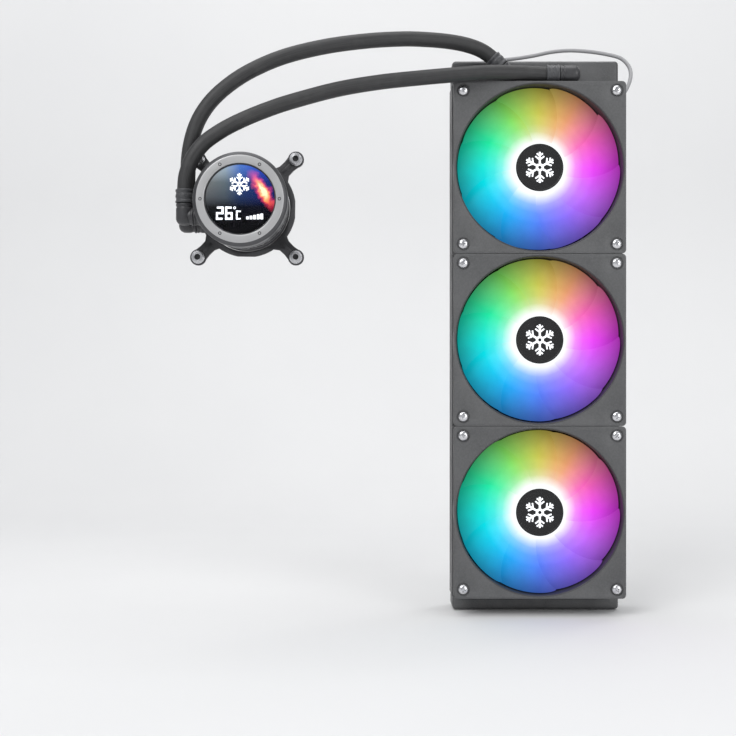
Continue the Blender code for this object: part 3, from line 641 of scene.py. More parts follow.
def smooth_line(points, spacing, before=None, after=None):
    """Points about spacing apart on a smooth curve through the route's own points."""
    ends = [before or 2 * points[0] - points[1], *points, after or 2 * points[-1] - points[-2]]
    fine = []
    for a, b, c, d in zip(ends, ends[1:], ends[2:], ends[3:]):
        for i in range(16):
            t = i / 16
            fine.append(
                0.5 * (
                    2 * b + (c - a) * t + (2 * a - 5 * b + 4 * c - d) * t**2 + (3 * b - a - 3 * c + d) * t**3
                )
            )
    fine.append(points[-1])
    along = [0.0]
    for p, q in zip(fine, fine[1:]):
        along.append(along[-1] + (q - p).length)
    count = max(2, round(along[-1] / spacing))
    line, k = [], 0
    for n in range(count + 1):
        target = along[-1] * n / count
        while k < len(fine) - 2 and along[k + 1] < target:
            k += 1
        share = (target - along[k]) / max(along[k + 1] - along[k], 1e-12)
        line.append(fine[k].lerp(fine[k + 1], min(1.0, share)))
    return line


def swept(name, line, section, material):
    """A tube whose closed (across, up) section follows the line. U is metres along it, V the way round."""
    bm = bmesh.new()
    layer = bm.loops.layers.uv.new("UVMap")
    side = Vector((0, 1, 0))
    rings, reached = [], [0.0]
    for i, point in enumerate(line):
        ahead = (line[min(i + 1, len(line) - 1)] - line[max(i - 1, 0)]).normalized()
        side = (side - ahead * side.dot(ahead)).normalized()
        up = ahead.cross(side)
        rings.append([bm.verts.new(point + side * a + up * b) for a, b in section])
        if i:
            reached.append(reached[-1] + (point - line[i - 1]).length)
    count = len(section)
    for i in range(len(rings) - 1):
        for k in range(count):
            n = (k + 1) % count
            face = bm.faces.new((rings[i][k], rings[i][n], rings[i + 1][n], rings[i + 1][k]))
            for loop, u, v in zip(face.loops, (i, i, i + 1, i + 1), (k, k + 1, k + 1, k)):
                loop[layer].uv = (reached[u], v / count)
    bm.faces.new(rings[0][::-1])
    bm.faces.new(rings[-1])
    bmesh.ops.recalc_face_normals(bm, faces=bm.faces)
    return done(name, bm, material, 50, weld=False)


def stands_for(obj, body, slot, *nodes):
    """Puts a piece on its body and hides the CAD nodes that it replaces. The slot is not used."""
    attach(obj, body)
    if nodes:
        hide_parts(*nodes)
    return obj


def fixed(name, bm, material, slot, *nodes):
    """A finished piece of the cooler's own body."""
    return stands_for(done(name, bm, material, 30), "cooler", slot, *nodes)


# ---------------------------------------------------------------- camera and stage


def camera():
    """Level with the radiator, a metre in front of it."""
    data = bpy.data.cameras.new("camera")
    data.lens, data.sensor_width = 57.34, 36
    data.clip_end = 50
    obj = linked("camera", data)
    obj.location = (-0.1394, -1.0023, -0.0228)
    obj.rotation_euler = (radians(90), 0, 0)
    bpy.context.scene.camera = obj


def stage():
    """A pale floor that curves up into a backdrop."""
    bm = bmesh.new()
    profile = [(-3.0, 0), (0.5, 0)]
    profile += [(0.5 + 0.5 * sin(radians(a)), 0.5 - 0.5 * cos(radians(a))) for a in range(6, 91, 6)]
    profile += [(1.0, 3.0)]
    floor = cad_bounds[0][2] - 0.0005
    rows = [[bm.verts.new((x, y, floor + z)) for y, z in profile] for x in (-3.5, 3.5)]
    for i in range(len(profile) - 1):
        bm.faces.new((rows[0][i], rows[1][i], rows[1][i + 1], rows[0][i + 1]))
    s = Shader("floor_paint", (0.72, 0.72, 0.72), 0.75)
    s.wire(s.mix(s.noise(300, 3), (0.70, 0.70, 0.705), (0.745, 0.745, 0.745)), "Base Color")
    done("floor", bm, s.material, 60)


def lamp(name, place, aim, size, power):
    data = bpy.data.lights.new(name, "AREA")
    data.shape, data.size, data.size_y = "RECTANGLE", size[0], size[1]
    data.energy = power
    obj = linked(name, data)
    obj.location = place
    obj.rotation_euler = (Vector(aim) - Vector(place)).to_track_quat("-Z", "Y").to_euler()


def lights():
    """Soft light from a pale sky and four large lamps."""
    world = bpy.data.worlds.new("studio")
    world.use_nodes = True
    background = world.node_tree.nodes["Background"]
    background.inputs["Color"].default_value = (0.95, 0.97, 1.0, 1)
    background.inputs["Strength"].default_value = 0.42
    bpy.context.scene.world = world
    lamp("key", (-1.1, -1.5, 1.5), (-0.08, 0, 0.05), (1.2, 1.2), 26)
    lamp("fill", (1.3, -1.7, 0.5), (-0.05, 0, 0), (1.0, 1.4), 15)
    lamp("top", (-0.1, 0.0, 1.7), (-0.1, 0, 0), (1.6, 1.0), 15)
    lamp("back", (0.9, 1.2, 0.9), (-0.05, 0, 0.05), (1.0, 1.0), 12)


# ---------------------------------------------------------------- hoses and their ends

TANK_FRONT = 27.3
SUPPLY_X, RETURN_X, PORT_Z = -22.5, 27, 217.5
SUPPLY_UP, RETURN_UP = 9.8, 17  # how far the elbows' barrels stand off the tank
ELBOW_REACH = 10.3  # from an elbow's axis to the end of its hose
STRAIGHT = 12  # the part of a hose inside its collar
SIDE_X, BARREL_X = PUMP_X - 38.3, PUMP_X - 45.3
PUMP_PORTS = ((-14, 20), (-10, 35))  # (up, depth) from the pump head's place: supply, return
DIAGONAL = (-cos(radians(45)), 0, sin(radians(45)))


def tank_end(x, up, barrel):
    """An elbow's foot, its axis and the way that its barrel points."""
    return (x, TANK_FRONT, PORT_Z), (x, TANK_FRONT + up, PORT_Z), barrel


def pump_end(up, depth):
    """The same at the pump head, where both barrels point up."""
    return (SIDE_X, PUMP_H + depth, PUMP_Z + up), (BARREL_X, PUMP_H + depth, PUMP_Z + up), (0, 0, 1)


HOSE_ENDS = {
    "supply": (
        tank_end(SUPPLY_X, SUPPLY_UP, DIAGONAL),
        pump_end(*PUMP_PORTS[0]),
    ),
    "return": (
        tank_end(RETURN_X, RETURN_UP, (-1, 0, 0)),
        pump_end(*PUMP_PORTS[1]),
    ),
}

ROUTES = {
    "supply": [
        (-47.5, 40, 238.4), (-59.5, 44, 241.4), (-74, 48.5, 242.8), (-92, 53.8, 242.9),
        (-112, 58.8, 242), (-141, 64.3, 238.8), (-174, 69, 233), (-206, 73, 224),
        (-232, 76, 212), (-251, 77.8, 199), (-265, 78.6, 185), (-274.5, 78.6, 169),
        (-279.8, 78.6, 150), (-281.3, 78.6, 130),
    ],
    "return": [
        (-8, 46.4, 217.4), (-20, 49.9, 217.1), (-44, 55.7, 215.9), (-70, 59.4, 213),
        (-100, 62.3, 209.6), (-132, 66, 205.2), (-165, 71.3, 198.2), (-200, 78, 187.2),
        (-218, 82, 180.2), (-235, 85.8, 172.4), (-250, 89, 164.2), (-262.5, 91.4, 155.5),
        (-269.8, 92.5, 148.4), (-276.3, 93.2, 138.4), (-280.2, 93.5, 127.1),
    ],
}


def hoses():
    """Each hose with its two elbows and its two collars."""
    for name, ends in HOSE_ENDS.items():
        tips = []
        for _, axis, barrel in ends:
            base = world_point(*axis)
            tips.append(
                [
                    base + Vector(barrel) * ELBOW_REACH * MM,
                    base + Vector(barrel) * (ELBOW_REACH + STRAIGHT) * MM,
                ]
            )
        (start, inner), (end, outer) = tips
        middle = [world_point(*p) for p in ROUTES[name]]
        line = smooth_line([inner, *middle, outer], 2.2 * MM, start, end)
        line = [start, start.lerp(inner, 0.5), *line, end.lerp(outer, 0.5), end]
        hose = swept(f"{name}_hose", line, circle(0, 0, HOSE_R * MM, 40), HOSE)
        stands_for(hose, "cooler", "rubber", f"hose_{name}")
        for place, end_facts in zip(("radiator", "pump"), ends):
            elbow(
                f"{place}_swivel_{name}", f"{place}_elbow_{name}", *end_facts,
                out=(0, -1, 0) if place == "radiator" else (-1, 0, 0),
            )
            collar(f"{place}_ferrule_{name}", f"{place}_collar_{name}", *end_facts[1:])


def elbow(name, node, port, axis, barrel, out):
    """A swivel elbow: a flanged base with a grooved neck, and a barrel with a rounded heel."""
    bm = bmesh.new()
    height = (world_point(*axis) - world_point(*port)).length / MM
    neck = [
        (0, 0), (7.4, 0), (7.4, 1.8), (6.4, 2.3), (6.4, 2.7), (6.9, 3.1), (6.9, 4.4), (6.3, 4.9),
        (6.2, height - 1), (5.2, height), (0, height),
    ]
    if height < 8:
        neck = [(0, 0), (7.2, 0), (7.2, 1.2), (6.4, 1.7), (6.2, height - 1), (5.2, height), (0, height)]
    lathe(bm, rounded(neck, 0.35), 48, standing(port, out))
    body = [
        (0, -6.9), (3.2, -6.7), (5.1, -5.7), (6.3, -4.2), (6.9, -2.2), (6.9, 6.2), (6.4, 6.6),
        (6.4, 7.6), (6.9, 8.0), (6.9, 9.4), (6.4, 10), (0, 10),
    ]
    lathe(bm, rounded(body, 0.3), 48, standing(axis, barrel))
    heel = [(0, -1)] + [(6.55 * sin(radians(a)), 6.55 * cos(radians(a))) for a in range(90, -1, -9)]
    lathe(bm, heel, 40, standing(axis, out))
    fixed(name, bm, DARK, "dark_plastic", node)


def collar(name, node, axis, barrel):
    """A crimped sleeve: plain ends, with a ring of dimples between two beads."""
    bm = bmesh.new()
    low = ELBOW_REACH
    profile = [
        (6.06, 0.1), (7.3, 0.1), (7.3, 1.6), (6.85, 2.0), (6.85, 3.6), (7.15, 4.0), (7.15, 6.6), (6.85, 7.0),
        (6.85, 8.4), (7.3, 8.8), (7.3, 10.2), (6.9, 10.6), (6.06, 10.6),
    ]
    profile = rounded([(r, low + z) for r, z in profile], 0.25, closed=True)
    lathe(bm, profile, 64, standing(axis, barrel))
    for i in range(12):
        around = standing(axis, barrel) @ turned(30 * i, "Z") @ Matrix.Translation(
            world_point(7.05, 0, low + 5.3)
        )
        dimple = [(0, -0.35), (0.5, -0.3), (0.85, 0.0), (0.9, 0.12), (0.6, 0.28), (0, 0.3)]
        lathe(bm, dimple, 16, around @ turned(90))
    fixed(name, bm, COVER, "dark_plastic", node)


# ---------------------------------------------------------------- radiator


def tanks():
    """Pressed tanks with a brazed lip over the core, and bosses round the two ports."""
    for node, open_z, end_z in (("tank_top", 210.3, 233.0), ("tank_bottom", -210.3, -224.0)):
        bm = bmesh.new()
        low, high = sorted((open_z, end_z))
        up = 1 if end_z > open_z else -1
        lip = sorted((open_z, open_z + up * 2.6))
        body = sorted((open_z + up * 2.2, end_z))
        brick(bm, (-69.7, 69.7), (0, 27), lip, 0.7, 2)
        brick(bm, (-69.2, 69.2), (0.4, 26.6), body, 3.0, 5)
        if node == "tank_top":
            for x in (SUPPLY_X, RETURN_X):
                lathe(
                    bm, rounded([(0, 25.5), (10.2, 25.5), (10.2, 26.8), (9.2, 27.25), (0, 27.25)], 0.3), 48,
                    at(x, 0, PORT_Z),
                )
            for x in (-69.0, 69.0):
                lathe(
                    bm, [(0, -0.9), (4.4, -0.9), (4.4, 0.4), (3.9, 0.65), (0, 0.65)], 32,
                    standing((x, 13.5, 221), (1 if x > 0 else -1, 0, 0)),
                )
        else:
            lathe(
                bm, rounded([(4.9, -0.6), (8.4, -0.6), (8.4, 0), (7.9, 0.3), (4.9, 0.3)], 0.2, closed=True),
                48, standing((0, 13.5, -223.9), (0, 0, -1)),
            )
        # Two shallow pressed panels stiffen each long face, but for the top tank's front, where its ports
        # stand.
        for side in (-1, 1):
            for depth in ((0.15, 0.45), (26.55, 26.85)):
                if node == "tank_top" and depth[0] > 20:
                    continue
                brick(
                    bm, (side * 35 - 27, side * 35 + 27), depth,
                    sorted((open_z + up * 5.2, end_z - up * 4.0)), 0.14, 1,
                )
        fixed(node + "_shell", bm, COAT, "coated_aluminium", node)
    plug = bmesh.new()
    lathe(
        plug, rounded([(0, -4), (4.7, -4), (4.7, 0), (3.4, 0), (3.0, -1.4), (0, -1.4)], 0.2), 48,
        standing((0, 13.5, -224), (0, 0, -1)),
    )
    fixed("fill_plug_cap", plug, DARK, "dark_plastic", "fill_plug")


def rails():
    """Folded channels with round bends; each screw hole has a pressed collar."""
    for side, node in ((-1, "side_rail_left"), (1, "side_rail_right")):
        outline = [
            (55.7, 0), (69.7, 0), (69.7, 27), (55.7, 27), (55.7, 25.8), (68.5, 25.8), (68.5, 1.2), (55.7, 1.2)
        ]
        outline = rounded([Vector(p) for p in outline], 1.0, 4, closed=True)
        bm = bmesh.new()
        bar(bm, [(side * x, h) for x, h in outline], -210, 210)
        bmesh.ops.recalc_face_normals(bm, faces=bm.faces)
        bmesh.ops.triangulate(bm, faces=bm.faces)
        rail = done(node + "_channel", bm, COAT, 30)
        drills = []
        for row in FAN_ROWS.values():
            for end in (-1, 1):
                drill = bmesh.new()
                lathe(
                    drill, [(0, -3), (1.9, -3), (1.9, 30), (0, 30)], 24,
                    at(side * SCREW_AT, 0, row + end * SCREW_AT),
                )
                drills.append(done("drill", drill, COAT))
        rail = cut(rail, drills)
        bm = bmesh.new()
        bm.from_mesh(rail.data)
        for row in FAN_ROWS.values():
            for end in (-1, 1):
                for low, high in ((1.15, 2.6), (24.4, 25.85)):
                    ring = rounded([(1.95, low), (3.1, low), (3.1, high), (1.95, high)], 0.3, closed=True)
                    lathe(bm, ring, 24, at(side * SCREW_AT, 0, row + end * SCREW_AT))
        # A long bead pressed into the web.
        brick(bm, sorted((side * 69.55, side * 69.95)), (10.5, 16.5), (-195, 195), 0.18, 2)
        bm.to_mesh(rail.data)
        bm.free()
        stands_for(shaded(rail), "cooler", "coated_aluminium", node)


def core():
    """Flat tubes with round noses, and folded fins between them."""
    bm = bmesh.new()
    pitch = (116 - 2.2) / 13
    for i in range(14):
        x = -58 + 1.1 + i * pitch
        section = []
        for h, up in ((25.5, 1), (1.5, -1)):
            for a in range(0, 181, 30):
                turn = radians(a)
                section.append((x + up * 1.1 * cos(turn), h - up * 1.1 + up * 1.1 * sin(turn)))
        bar(bm, section, -212.5, 212.5)
    tubes = done("coolant_tubes", bm, TUBE_PAINT, 40)
    stands_for(tubes, "cooler", "fin_aluminium")
    bm = bmesh.new()
    folds, rise = 300, 420 / 300
    for i in range(13):
        left = -58 + 2.2 + i * pitch + 0.02
        right = left + pitch - 2.24
        path = []
        for k in range(folds + 1):
            z = -210 + k * rise
            x = left if k % 2 else right
            inner = 0.42 if k % 2 else -0.42
            path += [(x + inner, z - 0.28), (x, z - 0.1), (x, z + 0.1), (x + inner, z + 0.28)]
        path = [(x, min(210, max(-210, z))) for x, z in path]
        skin(bm, [[bm.verts.new((x * MM, -h * MM, z * MM)) for x, z in path] for h in (24.5, 2.5)])
        # The louvres pressed into the fins stop a straight view through the pack.
        brick(bm, (left - 0.1, right + 0.1), (13.3, 13.7), (-210, 210), 0)
    fins = done("folded_fins", bm, FIN, 60, weld=False)
    stands_for(fins, "cooler", "fin_aluminium", "fin_core")


# ---------------------------------------------------------------- fans


def fan_frame(name):
    """A square frame with a bell-mouthed bore, screw seats in its corners, and struts behind the rotor."""
    back, front, half = FAN_BACK, FAN_FRONT, 69.85
    corners = [(sx * SCREW_AT, sz * SCREW_AT) for sx in (-1, 1) for sz in (-1, 1)]
    outline = round_box(half, half, 3.2, 8)
    bm = bmesh.new()
    prism(
        bm, [outline, circle(0, 0, 68.7, 128), *[circle(x, z, 5.4, 32) for x, z in corners]], front - 0.9,
        front,
    )
    prism(
        bm, [outline, circle(0, 0, 68.7, 128), *[circle(x, z, 2.2, 24) for x, z in corners]], front - 4,
        front - 0.9,
    )
    prism(
        bm, [outline, circle(0, 0, 68.7, 128), *[circle(x, z, 2.2, 24) for x, z in corners]], back, back + 4
    )
    body = done("body", bm, FRAME)
    bm = reopened(bevelled(body, 0.3))
    lip = [(68.75, front)]
    lip += [
        (BORE_R + 1.35 * (1 - sin(radians(a))), front - 2.0 + 2.0 * cos(radians(a)))
        for a in range(15, 91, 15)
    ]
    bore = lip + [
        (BORE_R, back + 2.5), (BORE_R + 1, back + 0.05), (BORE_OUT_R, back + 0.05),
        (BORE_OUT_R, back + 4), (69.3, front - 4), (69.3, front - 0.2),
    ]
    lathe(bm, bore, 160, TURN_FRONT, slot=1)
    for turn in (45, 135, 225, 315):
        spin = turned(turn)
        for offset in (-15, 15):
            fan = turned(offset)
            brick(bm, (68.6, 74.5), (back + 3.8, front - 3.8), (-0.7, 0.7), 0.3, 1, spin @ fan)
        # Bosses keep the two flanges apart round each screw.
        place = spin @ Matrix.Translation((SCREW_AT * sqrt(2) * MM, 0, 0)) @ TURN_FRONT
        lathe(bm, [(2.4, back + 3.9), (4.4, back + 3.9), (4.0, back + 7), (2.4, back + 7)], 24, place)
        lathe(bm, [(2.4, front - 7), (4.0, front - 7), (4.4, front - 3.9), (2.4, front - 3.9)], 24, place)
    # Motor cup with stepped rim, and the struts that hold it.
    cup = [
        (0, 0.4), (16, 0.4), (16.6, 0.9), (19.6, 0.9), (20.2, 0.4), (22, 0.8), (22, 3.0), (20, 3.3), (0, 3.0)
    ]
    lathe(bm, rounded([(r, back + z) for r, z in cup], 0.3), 96, TURN_FRONT, slot=1)
    for turn in (45, 135, 225, 315):
        spin = turned(turn)
        rows = []
        for k in range(13):
            r = 19 + (68.2 - 19) * k / 12
            bow = radians(9 * sin(pi * k / 12))
            half_width = 1.8 + 0.7 * abs(k / 12 - 0.5) * 2
            ring = []
            for a in range(12):
                t = 2 * pi * a / 12
                across, depth = half_width * cos(t), back + 1.9 + 1.1 * sin(t)
                angle = bow + across / r
                ring.append(bm.verts.new(spin @ (Vector((r * cos(angle), -depth, r * sin(angle))) * MM)))
            rows.append(ring)
        skin(bm, rows, closed=True, slot=1)
    return faced_out(done(name, bm, [FRAME, FRAME_DARK], 32, weld=False))


def blade(bm, number):
    """One swept, pitched blade of a wide fan, thick at the root and thin at its edges."""
    spans, chords, middle = 16, 20, FAN_BACK + 15
    root = HUB_R - 1.2
    grid = []
    turn = 2 * pi * number / BLADES
    for side in (1, -1):
        sheet = []
        for s in range(spans + 1):
            share = s / spans
            radius = root + share * (TIP_R - root)
            width = radians(46 - share)
            sweep = radians(20) * share**1.4
            row = []
            for c in range(chords + 1):
                across = c / chords - 0.5
                rim = 1 - (2 * abs(across)) ** 6
                tip = 1 - max(0.0, share - 0.9) / 0.1 * 0.6
                thick = (0.35 + 1.15 * rim * tip) * (1.15 - 0.4 * share)
                rise = 4.9 * (1 - 0.12 * share)
                # The trailing corner is rounded off, so that the blades' ends don't run square into the bore.
                trim = 1.1 * max(0.0, share - 0.85) / 0.15 * (2 * abs(across)) ** 8
                depth = middle + 2 * rise * across + 1.7 * (1 - 4 * across**2) + side * thick / 2
                angle = turn + sweep + across * width
                r = radius - trim
                row.append(bm.verts.new(Vector((r * cos(angle), -depth, r * sin(angle))) * MM))
            sheet.append(row)
        grid.append(sheet)
    for sheet in grid:
        skin(bm, sheet)
    upper, lower = grid
    rims = [(upper[0], lower[0]), (upper[-1], lower[-1])]
    rims += [([row[k] for row in upper], [row[k] for row in lower]) for k in (0, -1)]
    for rim in rims:
        skin(bm, rim)


def rotor(name):
    """The lit hub, with its nine blades."""
    bm = bmesh.new()
    hub = [
        (0, 20.6), (18.6, 20.6), (18.6, 4.2), (HUB_R, 4.2), (HUB_R, 21.2), (21.4, 22.4),
        (20.4, 22.7), (20.1, 22.2), (0, 22.2),
    ]
    lathe(bm, rounded([(r, FAN_BACK + z) for r, z in hub], 0.35), 96, TURN_FRONT)
    for number in range(BLADES):
        blade(bm, number)
    return faced_out(done(name, bm, BLADE, 40, weld=False))


def cap(name):
    """A shallow dished cap with a raised edge."""
    bm = bmesh.new()
    dish = [(0, 22.9), (19.3, 22.9), (19.3, 23.5), (18.9, 23.95), (18.2, 24.0), (17.8, 23.7), (0, 23.72)]
    lathe(bm, rounded([(r, FAN_BACK + z) for r, z in dish], 0.15), 96, TURN_FRONT)
    return done(name, bm, CAP, 30)


def star(bm, depth, place, arm, branches, widths, bevels):
    """Six branched arms. Each branch is (how far out it starts, its length)."""
    for i in range(6):
        spin = place @ turned(90 + 60 * i)
        brick(bm, arm, depth, (-widths[0], widths[0]), bevels[0], 1, spin)
        for reach, length in branches:
            for side in (-1, 1):
                turn = turned(side * 52)
                branch = spin @ Matrix.Translation((reach * MM, 0, 0)) @ turn
                brick(bm, (0, length), depth, (-widths[1], widths[1]), bevels[1], 1, branch)


def snowflake(name):
    """The star on a hub cap, round a small hexagon."""
    bm = bmesh.new()
    depth = (FAN_BACK + 23.6, FAN_BACK + 23.98)
    star(bm, depth, Matrix(), (2.2, 12.6), ((6.2, 4.6), (9.4, 3.2)), (0.85, 0.65), (0.15, 0.12))
    prism(bm, [circle(0, 0, 3.4, 6), circle(0, 0, 1.5, 6)], *depth)
    return done(name, bm, EMBLEM, 30)


def screw_mesh():
    """A long pan-head screw with a cross recess and threads near its tip."""
    bm = bmesh.new()
    top = 51.55
    profile = [(0, 22.6), (1.1, 22.6), (1.5, 23.2)]
    for i in range(14):
        z = 23.3 + i * 0.6
        profile += [(1.5, z), (1.72, z + 0.3)]
    profile += [
        (1.5, 32), (1.5, top), (2.2, top), (4.0, top), (4.15, top + 0.5), (3.95, top + 1.3), (3.3, top + 2.0),
        (2.2, top + 2.55), (0, top + 2.8),
    ]
    lathe(bm, profile, 40)
    screw = done("screw", bm, STEEL, 40)
    cutters = []
    for turn in (20, 110):
        cutter = bmesh.new()
        wedge = [(-2.3, top + 3.2), (2.3, top + 3.2), (1.2, top + 0.9), (-1.2, top + 0.9)]
        verts = [[cutter.verts.new((x * MM, y * MM, z * MM)) for x, z in wedge] for y in (-0.42, 0.42)]
        skin(cutter, verts, closed=True)
        cutter.faces.new(verts[0])
        cutter.faces.new(verts[1])
        bmesh.ops.transform(cutter, matrix=turned(turn, "Z"), verts=cutter.verts)
        cutters.append(done("cutter", cutter, STEEL))
    cut(screw, cutters)
    mesh = screw.data
    bpy.data.objects.remove(screw)
    return mesh


FAN_PIECES = (
    # name, maker, slot, the CAD node's name
    ("housing", fan_frame, "frame_plastic", "frame"),
    ("blades", rotor, "frosted_plastic", "rotor"),
    ("cap", cap, "dark_plastic", "hub_cap"),
    ("star", snowflake, "frosted_plastic", None),
)


def fans():
    """The three fans share their meshes."""
    first = {}
    screw = screw_mesh()
    for name, row in FAN_ROWS.items():
        for part, make, slot, node in FAN_PIECES:
            if part in first:
                piece = linked(f"{name}_{part}", first[part].data)
            else:
                piece = first[part] = make(f"{name}_{part}")
            piece.location = (0, 0, row * MM)
            body = "cooler" if part == "housing" else name + "_rotor"
            stands_for(piece, body, slot, *([f"{name}_{node}"] if node else []))
        for n, (sx, sz) in enumerate(CORNERS, 1):
            obj = linked(f"{name}_fixing_{n}", screw)
            turn = turned(37 * n + row, "Z")
            obj.matrix_world = at(sx * SCREW_AT, 0, row + sz * SCREW_AT) @ turn
            stands_for(obj, "cooler", "steel", f"{name}_screw_{n}")


# ---------------------------------------------------------------- fan lead

LEAD_ROUTE = [
    (54, 39.5, 185.2), (62, 39.3, 192.5), (70, 38, 201.5), (76, 35, 212),
    (78.4, 30.5, 222), (76.5, 26.5, 230), (71, 23.5, 236), (61, 21, 239.6),
    (46, 19.3, 242.4), (29, 18.3, 243.6), (14, 17.7, 242.4), (0, 17.2, 239.6),
    (-14, 16, 237.6), (-30, 11, 237), (-43, 3.4, 236.6), (-49.6, -2.6, 233.4),
    (-52, -5, 226), (-52, -5, 213.2),
]
HANK_X, HANK_FOLD = -42, 10.2


def fan_lead():
    """A sleeved cable over the tank. Its spare length is wound once behind the core and ends in a plug."""
    wound = [(HANK_X - HANK_FOLD, -4.6, z) for z in (204, 192, 178)]
    for centre, first in ((166.4, 180), (203.6, 0)):
        for a in range(0, 181, 30):
            turn = radians(first + a)
            wound.append((HANK_X + HANK_FOLD * cos(turn), -4.5, centre + HANK_FOLD * sin(turn)))
        if first == 180:
            wound += [(HANK_X + HANK_FOLD, -4.5, z) for z in (176, 185, 194)]
    wound += [(HANK_X - HANK_FOLD, h, z) for h, z in ((-6.0, 194), (-7.6, 184), (-8.2, 174), (-8.2, 166))]
    wound += [(-50.6, -7.9, 160), (-48.4, -7.0, 156.5), (-47.6, -6.5, 153.2)]
    line = smooth_line([world_point(*p) for p in LEAD_ROUTE + wound], 2 * MM)
    lead = swept("fan_cable", line, circle(0, 0, LEAD_R * MM, 16), SLEEVE)
    stands_for(lead, "cooler", "rubber", "fan_lead", "fan_lead_hank")
    bm = bmesh.new()
    brick(bm, (-52.8, -42.2), (-8.9, -3.7), (139.8, 153.6), 0.5, 2)
    for side in (-1.5, -0.5, 0.5, 1.5):
        x = -47.5 + side * 2.54
        brick(bm, (x - 0.7, x + 0.7), (-3.85, -3.4), (142, 148), 0.1, 1)
        brick(bm, (x - 0.9, x + 0.9), (-8.7, -4.0), (139.5, 140.4), 0.15, 1)
    brick(bm, (-49.5, -45.5), (-9.4, -8.7), (142, 151.5), 0.2, 1)
    plug = fixed("fan_cable_plug", bm, DARK, "dark_plastic", "fan_lead_connector")
    bm = bmesh.new()
    tie = rounded([(12.2, -1.2), (13.0, -1.2), (13.0, 1.2), (12.2, 1.2)], 0.2, closed=True)
    lathe(bm, tie, 48, Matrix.Translation(world_point(HANK_X, -6.3, 186)) @ Matrix.Diagonal((1, 0.36, 1, 1)))
    band = fixed("cable_tie", bm, BLACK_RUBBER, "rubber")


# ---------------------------------------------------------------- pump head


def pump_part(name, profile, material, slot, *nodes, radius=0.3, closed=False):
    """A turned piece of the pump head."""
    bm = bmesh.new()
    lathe(bm, rounded(profile, radius, closed=closed), 128, at(PUMP_X, PUMP_H, PUMP_Z))
    fixed(name, bm, material, slot, *nodes)


def pump_head():
    here = Matrix.Translation(PUMP_AT)
    # The housing, its stepped side and ribs, and the two port bosses.
    bm = bmesh.new()
    side = [
        (24.4, 38), (24.4, 3.5), (34, 3.5), (34, 9.5), (33.2, 10.3), (33.2, 18), (34, 18.8),
        (34, 22), (33.3, 22.6), (33.3, 39.5), (34, 40.2), (34, 41.6), (33, 42), (0, 42),
    ]
    lathe(bm, rounded(side, 0.35), 128, at(PUMP_X, PUMP_H, PUMP_Z))
    for i in range(36):
        if 14 <= i <= 22:
            continue
        spin = here @ turned(10 * i + 5)
        brick(bm, (33.0, 33.9), (23.5, 39), (-1.1, 1.1), 0.3, 1, spin)
    for z, height in PUMP_PORTS:
        out = standing((PUMP_X, PUMP_H + height, PUMP_Z + z), (-1, 0, 0))
        lathe(
            bm,
            rounded(
                [
                    (0, 28), (7, 28), (7, 34.5), (6.6, 34.9), (6.6, 36.2), (7.0, 36.6), (7, 37.7), (6.6, 38),
                    (0, 38),
                ],
                0.25,
            ),
            48, out,
        )
    fixed("pump_body", bm, DARK, "dark_plastic", "pump_housing")
    pump_part(
        "pump_shell",
        [
            (0, 51), (33, 51), (33, 42.3), (35.6, 42.3), (35.6, 45.5), (35.1, 45.9), (35.1, 46.7),
            (35.6, 47.1), (35.6, 56.3), (33.4, 56.3), (33.4, 53), (0, 53),
        ],
        COVER, "dark_plastic", "pump_cover",
    )
    # The bezel: a bevelled edge with the light flat ring set into it; the edge is the same metal, painted
    # dark as shade.
    pump_part(
        "bezel_edge", [(33.3, 56.6), (36, 56.6), (36, 58.9), (35.5, 59.8), (33.3, 61.3), (32.9, 61.2)], BEZEL_EDGE_PAINTED_SHADE,
        "silver_metal", "bezel_ring", closed=True,
    )
    pump_part(
        "bezel_face", [(27.1, 56.6), (33.25, 56.6), (33.25, 61.3), (32.8, 61.5), (27.6, 61.5), (27.1, 61.1)],
        RING, "silver_metal", closed=True, radius=0.2,
    )
    # A thin dark ring on the face's inner wall: painted shadow, where the ring's inner edge lies in shade.
    pump_part(
        "bezel_inner_painted_shadow", [(26.2, 56.6), (27.05, 56.6), (27.05, 60.9), (26.75, 60.9), (26.2, 60.0)], DARK,
        "dark_plastic", closed=True, radius=0.15,
    )
    pump_part(
        "lens", [(0, 58.6), (25.9, 58.6), (25.9, 59.7), (25.5, 60.1), (18, 60.45), (9, 60.62), (0, 60.68)],
        GLASS, "display_glass", "display_lens", radius=0.2,
    )
    pump_part(
        "screen", [(0, 53.3), (33, 53.3), (33, 56), (26.1, 56.05), (26.1, 57.6), (0, 57.6)], SCREEN,
        "display_screen", "display_panel", radius=0.05,
    )
    bezel_screws()
    readout()
    cold_plate()
    bracket()
    for node, material in (("plate_gasket", BLACK_RUBBER), ("pump_impeller", DARK), ("pump_stator", WINDING)):
        repaint(node, material)


def repaint(node, material):
    """Gives a CAD solid, which shows as it is, a detailed material."""
    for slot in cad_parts[node].material_slots:
        slot.material = material


def bezel_screws():
    """Six small dark screws with round sockets, sunk in the ring."""
    for i in range(6):
        bm = bmesh.new()
        a = radians(60 * i)
        x, z = PUMP_X + 29.9 * cos(a), PUMP_Z + 29.9 * sin(a)
        lathe(
            bm,
            rounded(
                [(0, 60.6), (1.35, 60.6), (1.35, 61.5), (1.15, 61.72), (0.75, 61.72)], 0.1
            ) + [(0.72, 61.2), (0, 61.2)],
            24, at(x, PUMP_H, z),
        )
        fixed(f"bezel_screw_{i + 1}", bm, DARK, "steel")


